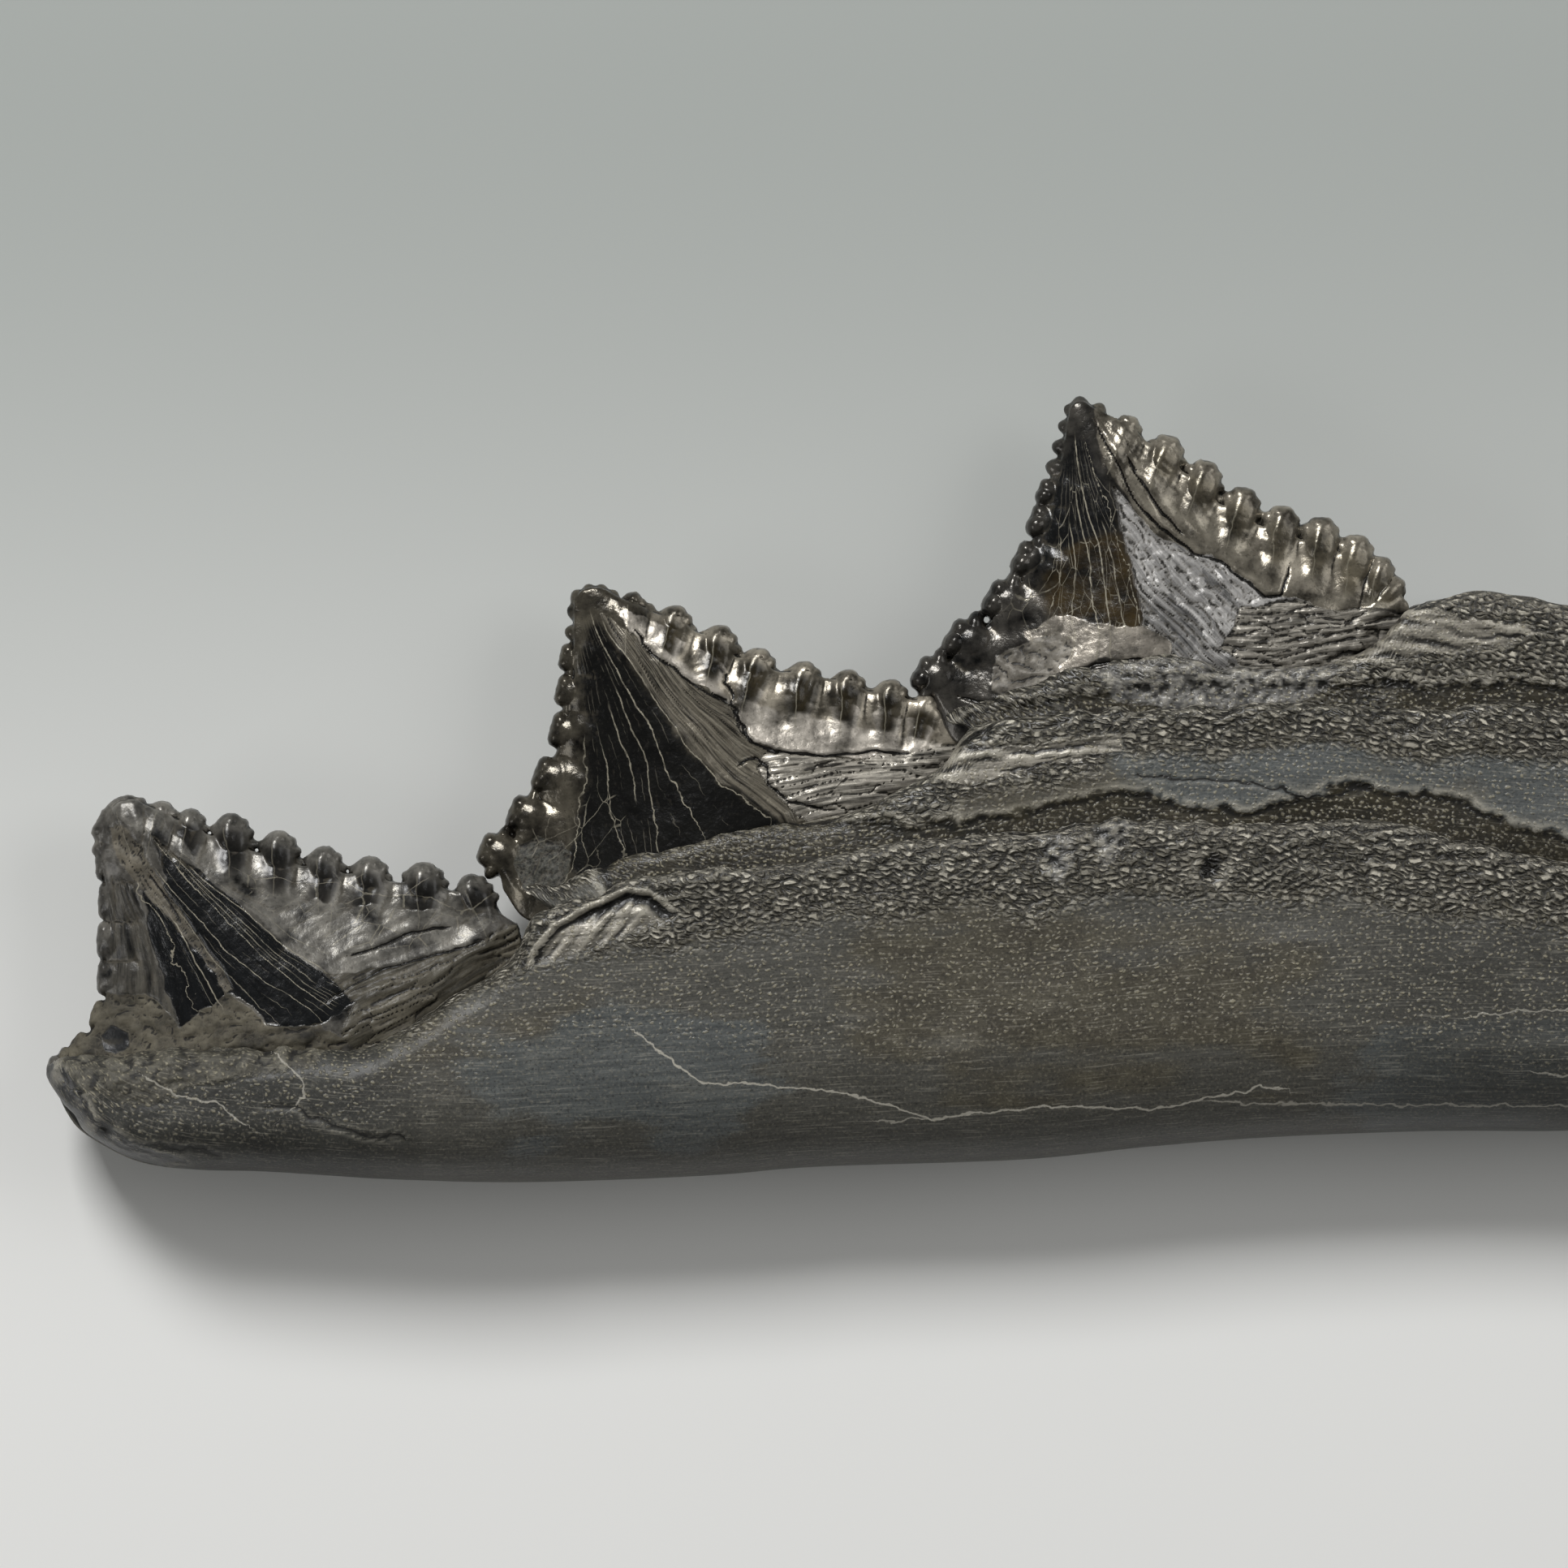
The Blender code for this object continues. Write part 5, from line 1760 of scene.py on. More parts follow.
def front_tooth() -> Tooth:
    """The oldest tooth: a worn, dull crown on the longest root.

    Returns:
        The tooth.
    """
    # Enameloid polished by nature and then worn: to the eye a dull grey-black with pewter ribs, brown
    # and crumbly where the dentine and the rock show.
    base = Layer("", 0, "#0a0a0a", "#64615b", 0.30, 0.2, 0.10)
    layers = (
        # Ribs: pale caps and valleys, partly painted highlight, and dark middles, partly painted reflection.
        Layer("ribs", 1, "#131312", "#7c7972", 0.28, 0.35, 0.09, 0.3, 0.4),
        Layer("ribs", 0, "#070706", "#1d1b18", 0.28, 0.0, 0.02, 0.3, 0.4),
        Layer("zones", 2, "#171717", "#7b7871", 0.33, 0.25, 0.08),
        Layer("zones", 0, "#010203", "#0d0f11", 0.23, 0.0, 0.03, 0.5, texture=Texture.STREAK),
        Layer("spots", 1, "#15140f", "#5f5a4e", 0.42, 0.0, 0.08, texture=Texture.LEAF),
        Layer("wear", 0, "#0e0e0e", "#4e4b44", 0.34, 0.1, 0.07, texture=Texture.STREAK),
        Layer("zones", 1, "#1b1914", "#645e52", 0.6, 0.0, 0.12, 0.4),
        MATRIX, PIT,
    )
    crown = Crown(
        tip=drawn("-55.2,-2.2 -54.6,-1.6 -53.4,-1.4 -52.2,-1.9"),
        left_edge=drawn("-55.2,-2.2 -55.8,-4 -55.7,-8 -55.2,-12 -55.3,-16 -56.6,-20 -58.6,-22.3"),
        right_edge=drawn("""-52.2,-1.9 -47.3,-4.2 -43.5,-5.6 -39.6,-6.8 -35.9,-7.4 -31.9,-8.1 -28,-8.6
            -24.5,-10 -21.9,-11.6"""),
        margin=drawn("-58.6,-22.3 -54,-22.8 -48,-22 -40,-21.4 -34,-20.2 -28,-16.6 -21.9,-12.8"),
        ridge_place=0.46, tip_half_thickness=1.5, base_half_thickness=5.6, lobes=FRONT_LOBES,
        veins=veins("""
            0.2,0.21,0.225,0.24,0.26,0.29,0.33,0.3,0.85 0.24,0.255,0.27,0.295,0.305,0.325,0.36,0.45,0.83
            0.27,0.297,0.327,0.35,0.36,0.405,0.47,0.4,0.86,0.6 0.3,0.34,0.385,0.41,0.42,0.49,0.58,0.26,0.95
            0.5,0.52,0.53,0.52,0.515,0.54,0.62,0.14,0.9 0.525,0.54,0.55,0.545,0.5375,0.56,0.64,0.3,0.84,0.6
            0.55,0.56,0.57,0.57,0.56,0.58,0.66,0.22,0.8,0.7 0.58,0.595,0.6,0.625,0.61,0.63,0.7,0.27,0.78
            0.61,0.63,0.645,0.67,0.66,0.69,0.76,0.2,0.72,0.5
        """),
        zones={
            "black": drawn("""-52.7,-8.3 -51.7,-9.6 -50.7,-7.9 -51.1,-5.9 -51.7,-4.6 -49.1,-6.3 -45.1,-9.4
                -40.9,-13.4 -37.7,-15.6 -35.1,-17.9 -37.7,-19.7 -41.7,-19.7 -44.4,-17.3 -45.4,-17.3
                -47.5,-18.3 -49.4,-19.9 -51.1,-15.6 -52.1,-11.6"""),
            "silver": drawn("""-55.6,-1.6 -54,-0.4 -51.8,-1.4 -50.4,-3.8 -48.2,-6.2 -45.1,-8 -41.7,-9.2
                -36.4,-9.7 -27.1,-10.6 -23.7,-11.3 -26.4,-13.3 -32.4,-14.9 -37.7,-15.6 -40.9,-13.4
                -43.1,-10.6 -46.8,-8.6 -50,-6.2 -52.2,-4.4 -53.8,-3.4"""),
            "dish": drawn("-45.1,-8.6 -36.4,-9.2 -25.1,-10.6 -26.4,-13.8 -34.4,-15.9 -40.9,-13.4"),
            "matrix": drawn("""-57.1,-17.3 -52.4,-17.1 -49.4,-19.9 -47.5,-18.3 -45.4,-17.3 -44.4,-17.7
                -42.2,-19.6 -37.7,-19.7 -35.7,-21.3 -38.7,-23.3 -44.4,-23.9 -51.1,-25.6 -57.1,-25.6
                -59.7,-22.3"""),
            "bare": drawn("""-55.3,-3.6 -54.3,-3.4 -52.6,-5.4 -51.2,-8 -48.6,-11.6 -46.4,-14.4 -45,-16.9
                -45.6,-17.4 -47.4,-14.6 -50.6,-11 -52.9,-8.4 -54.6,-6.3"""),
            "plume": drawn("""-35.1,-17.9 -37.7,-15.6 -32.4,-14.9 -27.1,-13.7 -23.7,-12.3 -20.4,-10.8
                -20.1,-15.3 -24.4,-18.6 -28.4,-20.3 -31.1,-21.9 -34.1,-22.2 -36.4,-20.8"""),
            "ribbed": drawn("-52,1 -46,0.5 -24,-4 -21,-10 -30,-10.6 -38,-10 -45,-8.6 -50,-5"),
            "net": drawn("-46,-7 -24,-8 -24,-12 -34,-14 -40,-12"),
            "streak": drawn("""-55.2,-7.6 -53.4,-8.2 -52.1,-11.6 -51.1,-15.6 -49.6,-19.6 -52.4,-17.1
                -54.9,-17 -55.4,-12"""),
            "pit": drawn("-56.1,-20.5 -55,-19.9 -53.9,-20.4 -53.7,-21.6 -54.8,-22.4 -56,-21.8"),
        },
        fissures=(
            drawn("-24,-12.6 -28.7,-14.1 -32.8,-15.1 -35.3,-16.5 -38,-18.2"),
            drawn("-27,-11.6 -30.6,-12 -33.4,-13.4 -36,-13.9"), drawn("-52.4,-7.2 -50.6,-9.6 -49.4,-11.6"),
        ),
        plume_turn_deg=27.0,
    )
    root = Root(
        keel=drawn("""-60.4,-24 -59.1,-27 -57.4,-28.9 -53.2,-31 -48.4,-31.6 -42.4,-31.9 -31.1,-32.6 -23,-32.8
            -14.3,-32.6 -4.9,-32.1 2.5,-31.5 19.5,-30.9 30.5,-29.8 39.3,-29.1 51.7,-28.6 64.4,-28.5 80,-28
            88,-26.4 92,-23.8"""),
        rim=drawn("""-60.4,-23 -58,-22.2 -54,-22 -50,-21.8 -46,-21.4 -42,-21.3 -37.7,-21.5 -34,-21.6
            -31.1,-19.8 -28.4,-18 -24.4,-16 -22,-13.6 -20.4,-11 -18.8,-9.8 -17.5,-9.4 -15,-9 -10.5,-7.2
            -2,-6.7 3.8,-5.7 10.7,-4.8 21.3,-3.9 28.7,-2.8 35,-3.2 40.8,-3.3 45.7,-2.8 50.7,-3 55,-4.3
            59.1,-5.7 64.4,-6.2 75,-7 86,-8.8 92,-11.5"""),
        half_thickness=drawn("""-60.4,2.2 -58.5,4 -54,5.8 -45,7 -30,7.7 -15,8.2 5,8.3 64,8.3 80,8.1 88,7.2
            92,5.6"""),
        trough=middle_root(),
        wrinkle_depth=drawn("-61,0.5 -46,0.6 -30,1 -22,3.5 -16,5.5 -10,6 10,6.2 30,7 60,6.5 92,6"),
        lip=drawn("-61,1.6 -54,2.6 -26,2.6 -20,1.2 -17,0.9 92,0.9"),
    )
    marks = RootMarks(
        grain_reach=drawn("-61,8 -46,8 -35,6 -20,9 0,15 30,17 92,15"),
        blue=(
            drawn("""-27.1,-20.6 -23.1,-20.3 -12.4,-19.9 -2.4,-21.6 -0.4,-24.3 -7.1,-28.9 -17.7,-29.6
                -25.1,-28.3 -28.4,-24.3"""),
            drawn("50,-20 92,-17 92,-30 52,-29 44,-25"),
        ),
        olive=(
            drawn("8,-12 20,-10.5 34,-13 44,-16 40,-22 20,-24 8,-21 2,-16"),
            drawn("-38,-20.5 -28,-19 -14,-17 -16,-20 -30,-22.5 -38,-24"),
        ),
        shade=drawn("-70,1.8 -50,1.8 -40,1.5 -30,0.6 -24,0 38,0 52,0.6 64,0.8 110,0.8"),
        dark=(
            drawn("""-60.8,-22.8 -58.8,-23.4 -57.2,-25 -56.4,-27.6 -53.4,-29.4 -49,-30.9 -54,-31.6
                -60.8,-29.5"""),
        ),
        blobs=(
            drawn("20.6,-3.9 23.9,-4.3 23.2,-7 22.6,-8.4 21.4,-7"),
            drawn("25,-3.3 28.9,-3 27.6,-5.2 26.2,-7 25.4,-5.4"),
        ),
        ridge=drawn("-70,0 -24,0 -19,0.8 -10,0.5 0,0.6 20,1 45,0.9 60,0.5 110,0.5"),
        matrix=(
            drawn("""-58.1,-19.3 -52.4,-18.1 -47.5,-18.3 -42.2,-19.6 -37.7,-19.7 -35.7,-21.3 -38.7,-23.3
                -44.4,-23.9 -51.1,-25.6 -57.1,-25.6 -59.7,-22.3"""),
        ),
        cracks_by_strength=(
            (
                drawn("""-11.9,-20.3 -9.3,-22.4 -6.9,-24.2 -0.9,-24.5 5,-25.2 12.3,-27.3 14.3,-27 22,-26.3
                    30.1,-26.5 33.7,-25.9 39,-24.7 40.4,-24.9"""),
            ),
            (
                drawn("35.1,-26 42.3,-26.1 64.4,-26.3 80,-26"), drawn("7.6,-27.6 8.9,-27.5 14.3,-27"),
                drawn("-41.4,-22.3 -39.3,-24 -39.1,-25.5 -40.1,-26.4"),
                drawn("-52,-24 -49,-25.6 -46.4,-25.9 -44,-27.6"),
            ),
            (drawn("55.6,-18.9 60.6,-18.4 64.4,-18.3 72,-18"), drawn("61,-23.4 64.4,-23.9 67,-23.6")),
        ),
        open_cracks=(
            drawn("-42.2,-26.3 -39.1,-26.5 -38,-27.5 -34.9,-28.1 -31.1,-28.9"),
            drawn("-56.4,-27.6 -53.5,-29.2 -50.5,-29.6 -46.4,-30.2"),
            drawn("-55,-29.4 -52.6,-30.2 -50,-30.6"),
        ),
        lumps=(
            Lump((-59.2, -23.9), 1.4, 0.7), Lump((-57.2, -25.6), 1.3, 0.45), Lump((-54.8, -24.2), 1.3, 0.35),
            Lump((-50.2, -23.0), 1.0, 0.35), Lump((-44.0, -22.4), 0.9, 0.45), Lump((-41.0, -22.2), 0.8, 0.4),
            Lump((-58.4, -27.4), 1.0, -0.4), Lump((-55.6, -28.4), 0.7, -0.5), Lump((34.7, -6.8), 1.0, -0.8),
        ),
        scar_outline=drawn("""-21.7,-14.8 -20.3,-13.5 -18.7,-11.7 -16.7,-10.6 -12.8,-8.8 -10.7,-9.1
            -8.9,-10.6 -11.1,-11.6 -13.7,-12.6 -17.7,-14.1"""),
        scar_arc=drawn("-20.7,-14.6 -20.3,-13.5 -18.7,-11.6 -16.7,-10.5 -12.8,-8.7 -11,-8.9 -9.2,-10.3"),
    )
    return Tooth(
        "front_tooth", "worn_tooth", crown,
        CrownFinish(
            "worn_polished_enameloid_grey_black", base, layers, hair_strength=0.5, split_strength=0.25,
        ),
        root, root_finish("granular_fossil_root_grey", "#393833", "#464540"), marks, 100,
    )


def middle_root() -> Root:
    """The middle tooth's root, which lies in the trough of the front one.

    Returns:
        The root.
    """
    return Root(
        keel=drawn("""-21.7,-9.4 -17.7,-11.4 -11,-13.6 2,-13.8 21,-12 42,-11.4 64,-13.4 82,-14.6 95,-15
            101,-13"""),
        rim=drawn("""-21.7,-8.2 -17.7,-7.7 -15.1,-6.3 -11.1,-4.9 -6.4,-3.9 -2.7,-3.1 -0.4,-2.7 4.7,-2.3
            10,-0.4 13,1.4 14.6,3.6 16.5,4.7 23.1,5.7 30.9,6.2 35.5,6.4 44.3,6.5 54.9,6.4 64.4,6.4 80,5.6
            94,3.6 101,0.6"""),
        half_thickness=drawn("-21.7,2 -17,4.4 -10,5.8 0,6.5 15,6.9 64,6.9 85,6.6 96,5.8 101,4.2"),
        trough=rear_root(), front_rows=86, back_rows=44, fine_part=0.5,
        wrinkle_depth=drawn("-22,1.5 0,3 12,4.5 20,6.5 30,4.2 60,4.6 101,4.6"),
        lip=drawn("-22,1.2 -16,1.4 10,1.5 15,1.2 19,0.9 101,0.9"),
        recess=drawn("""-15.6,-5.8 -11,-4.4 -6.4,-3.4 -0.4,-2.2 5,-2.6 10,-3.6 20,-2.2 26,-0.4 31,-0.6
            35,-2.2 39,-2 42,-0.9 47,-0.2 53,-0.6 57,-2 60,-3.4 64,-4.6 75,-6.6 90,-9.4 58,-8 35,-5.6 10,-7
            -6,-8.4 -14,-9.6"""),
    )


def rear_root() -> Root:
    """The rear tooth's root, which lies in the trough of the middle one.

    Returns:
        The root.
    """
    return Root(
        keel=drawn("13.3,4.9 16.5,2.6 21,1 28,0.2 50,0.2 64,0.2 80,-0.6 95,-1.4 103,-0.8 108,1.6"),
        rim=drawn("""13.3,6.4 16.5,6.6 18,7.1 20.5,8.3 22.8,9.3 26.3,9.8 29,10.5 32,10.6 36,9.6 42,9.4
            46,10.4 49,12.2 51,14.4 54.8,15.7 60,15.2 64.4,14.8 76,14 90,12.4 102,9.6 108,6.6"""),
        half_thickness=drawn("13.3,1.8 17,3.6 25,4.8 35,5.4 64,5.6 90,5.4 103,4.6 108,3.2"),
        groove=drawn("13.3,0 48,0 50,0.1 58,2.2 108,3"), front_rows=74, back_rows=38, fine_part=0.42,
        wrinkle_depth=drawn("13,3 30,4 44,5 52,7.5 108,8"),
        lip=drawn("13,1 18,1.2 44,1.4 50,1.2 54,0.8 108,0.8"),
        recess=drawn("17,6.4 26,7.4 33,8.6 44,8.2 60,8.4 72,7.4 92,4.4 50,4 20,2.4 13,4"),
    )


def root_finish(name: str, dark: str, light: str) -> RootFinish:
    """The finish of a root, from the two greys of its smooth face.

    Args:
        name: the material's name.
        dark: its darker grey.
        light: its lighter grey.

    Returns:
        The finish.
    """
    return RootFinish(
        name, Layer("", 0, dark, light, 0.48, 0.0, 0.010, texture=Texture.STREAK),
        (
            # Painted reflection: blue-grey sheen on the smooth face.
            Layer("tints", 0, "#3c3f3f", "#505352", 0.42, 0.0, 0.008, 0.5, texture=Texture.STREAK),
            Layer("tints", 1, "#322e25", "#464236", 0.5, 0.0, 0.012, 0.5, 0.4),
            Layer("spots", 1, "#1a1a17", "#30302c", 0.5, 0.0, 0.012, 0.3, 0.5),
            Layer("grains", 0, "#25231d", "#484439", 0.40, 0.0, 0.04),
            # The recess: a deep olive, partly its own colour and partly painted shade in the sunken band.
            Layer("grains", 2, "#0f0d07", "#2b2618", 0.42, 0.0, 0.04),
            Layer("spots", 0, "#2e2b24", "#7f7a6e", 0.5, 0.0, 0.10, 0.5, texture=Texture.FINE),
            Layer("extra", 1, "#343434", "#7d7b77", 0.38, 0.1, 0.08, 0.4, texture=Texture.GLINT),
            Layer("tints", 2, "#292720", "#4c493f", 0.7, 0.0, 0.12, 0.4),
            Layer("extra", 0, "#3a3730", "#9a958a", 0.4, 0.2, 0.10, texture=Texture.LEAF),
            # Dark patches, with the painted shadow under the scar's raised edge.
            Layer("extra", 2, "#0d0e0f", "#2b2c2d", 0.36, 0.0, 0.05, 0.4),
        ),
        # The roots' colour for shallow hollows is near black: painted shade.
        Grain(2.6, 0.22, 0.8, 0.45, 9.0), dust_and_shade="#24221b", flecks=(0.6, 0.3), specular=0.45,
    )


def middle_tooth() -> Tooth:
    """The middle tooth: a glossy black fan, a striated band and a silvery hollow.

    Returns:
        The tooth.
    """
    # Polished enameloid: to the eye a deep black gloss, and a silky grey gleam where it is fibrous.
    base = Layer("", 0, "#070606", "#5c574c", 0.22, 0.5, 0.07)
    layers = (
        Layer("zones", 2, "#3a3731", "#c4bdb2", 0.36, 0.6, 0.06),
        # Ribs: pale caps and valleys, partly painted highlight, and dark middles, partly painted reflection.
        Layer("ribs", 1, "#37342d", "#a8a091", 0.28, 0.55, 0.05, 0.3, 0.45),
        Layer("ribs", 0, "#070604", "#2c2618", 0.24, 0.1, 0.03, 0.3, 0.45),
        Layer("wear", 0, "#0a0907", "#7d776a", 0.28, 0.35, 0.08, texture=Texture.STREAK),
        Layer("zones", 0, "#010101", "#0b0b09", 0.22, 0.0, 0.02, 0.4),
        Layer("spots", 1, "#181612", "#c4beb2", 0.32, 0.45, 0.08, texture=Texture.STREAK),
        Layer("zones", 1, "#191916", "#45443d", 0.6, 0.0, 0.07, texture=Texture.FINE),
        MATRIX,
    )
    crown = Crown(
        tip=drawn("-17.2,15.2 -16.4,16 -15,16.1 -13.4,15.2"),
        left_edge=drawn("""-17.2,15.2 -17.3,12.7 -17.2,10.5 -17.2,8 -17.6,5.5 -18.2,2.4 -19.6,-1 -21.6,-3.8
            -23.6,-6.3"""),
        right_edge=drawn("""-13.4,15.2 -10.4,13.9 -7.1,12.4 -3.7,10.3 -0.4,9.2 2.9,8.8 6.7,7.6 10.3,6.9
            12.6,6 15,4.4"""),
        margin=drawn("""-23.6,-6.3 -21.6,-8.9 -17.7,-9.5 -12.4,-7.9 -7.1,-5.9 -1.1,-3.9 5.6,-1.3 10.9,0.7
            15,2.7"""),
        ridge_place=0.47, tip_half_thickness=1.3, base_half_thickness=5.1, lobes=MIDDLE_LOBES,
        veins=veins("""
            0.06,0.08,0.1,0.12,0.13,0.14,0.19,0.45,0.97 0.1,0.12,0.15,0.18,0.21,0.25,0.31,0.5,0.95,0.8
            0.14,0.18,0.23,0.27,0.29,0.315,0.335,0.36,0.7,0.8
            0.2,0.24,0.29,0.33,0.345,0.345,0.36,0.32,0.96,0.8 0.26,0.28,0.345,0.395,0.4,0.43,0.47,0.08,0.97
            0.36,0.375,0.455,0.48,0.49,0.525,0.6,0.12,0.99 0.44,0.46,0.52,0.54,0.55,0.585,0.66,0.3,0.97,0.5
            0.52,0.55,0.6,0.61,0.62,0.66,0.74,0.2,0.9,0.45 0.56,0.6,0.64,0.655,0.67,0.72,0.8,0.14,0.8,0.4
            0.62,0.65,0.69,0.7,0.72,0.77,0.86,0.26,0.9,0.4
        """),
        zones={
            "black": drawn("""-16.3,12.7 -15.4,13.4 -13.7,11.7 -11.7,8.7 -9.7,5.7 -7.7,2.7 -5.4,0.4 -2.4,-1.6
                0.6,-3.4 -2.4,-4.4 -6.4,-5.4 -11.1,-6.4 -15.1,-7.8 -16.9,-8.8 -17.7,-6.3 -16.9,-2.9 -16.3,1.1
                -16.3,4.4 -16.5,7.7 -16.7,10.4"""),
            "streak": drawn("""-15.1,14.1 -13.1,12.7 -11.1,10.9 -7.7,8.5 -4.2,6.6 -3.4,4.4 -2.3,3.4 0.1,2.6
                2.3,1.7 4.1,-2.3 -0.4,-3.5 -2.4,-1.6 -5.4,0.4 -7.7,2.7 -9.7,5.7 -11.7,8.7 -13.7,11.7"""),
            "plume": drawn("""-1.6,2.4 0.1,2.6 4.9,2.1 10.3,2.7 15.5,3.1 16,0 8.9,-3.6 4.1,-4.3 0.4,-1.9
                -1.2,-0.1 -2.4,1.4"""),
            "silver": drawn("""-13.8,14.2 -11.4,13.6 -7.6,11.6 -4.4,9.2 -2.4,7.8 2.3,6.8 7.1,5.9 10.3,5.3
                13.6,4.1 12.9,2.7 8.9,2.5 4.9,2.3 0.1,2.7 -2.3,3.6 -3.4,4.5 -4.4,6.6 -7.7,8.6 -11.1,11
                -12.8,12.6"""),
            "dish": drawn("-7.7,7.7 -3.4,7 4.3,6.2 12.3,5.1 13.6,3.1 4.9,1.3 -2.3,1.6 -5.4,4.5"),
            "bare": drawn("""-22.3,-6.3 -21.7,-4.9 -20.1,-4.4 -18.4,-4.8 -17.5,-5.9 -17.7,-7.9 -19.4,-9.3
                -21.4,-8.6"""),
            "ribbed": drawn("-14,18.5 -8,17.5 16.5,10 15,3 3,5.4 -4,6.8 -10,11"),
            "net": drawn("-20,-3 -16.8,-2 -14.5,0 -12,-4.5 -16.7,-7.6 -22,-5"),
        },
        fissures=(
            drawn("-12.6,13.1 -11.1,10.9 -7.7,8.5 -4.2,6.6 -3.4,4.4 -2.3,3.4 0.1,2.6"),
            drawn("-4.2,1.3 -2.3,2.3 -1.2,1.4 -1.2,-0.1 0.4,-1.4 4.1,-2.3"),
            drawn("-5.6,10.4 -4.5,7.9 -3.4,4.9 -2.9,3.7 -1.2,2.9 3.5,2.4 7.5,2.9 11,2.4"),
        ),
        soft_zones=("black",),
    )
    return Tooth(
        "middle_tooth", "black_tooth", crown, CrownFinish("polished_enameloid_black", base, layers),
        middle_root(), root_finish("wrinkled_fossil_root_blue_grey", "#45443f", "#55544e"),
        RootMarks(
            grain_reach=drawn("-22,4 20,9 101,12"), olive=(drawn("-14,-5 4,-1 20,1 30,0 30,-6 0,-8"),),
            blue=(drawn("26,3.5 40,4.2 64,5.2 100,4 100,-8 60,-3.6 52,-1 36,-3 28,0"),),
            plume=(drawn("12,0.2 13.9,3.3 17.6,3.1 27.6,4.3 27.6,2.7 21.6,1.5 16.9,0.3"),),
            plume_turn_deg=5.0, open_cracks=(drawn("28.9,0.7 39.6,-0.1 42.5,-0.9 47.6,-0.4"),),
            lumps=(Lump((14.6, 4.6), 1.3, -0.9), Lump((16.3, 4.9), 1.0, -0.7)),
        ),
        200,
    )


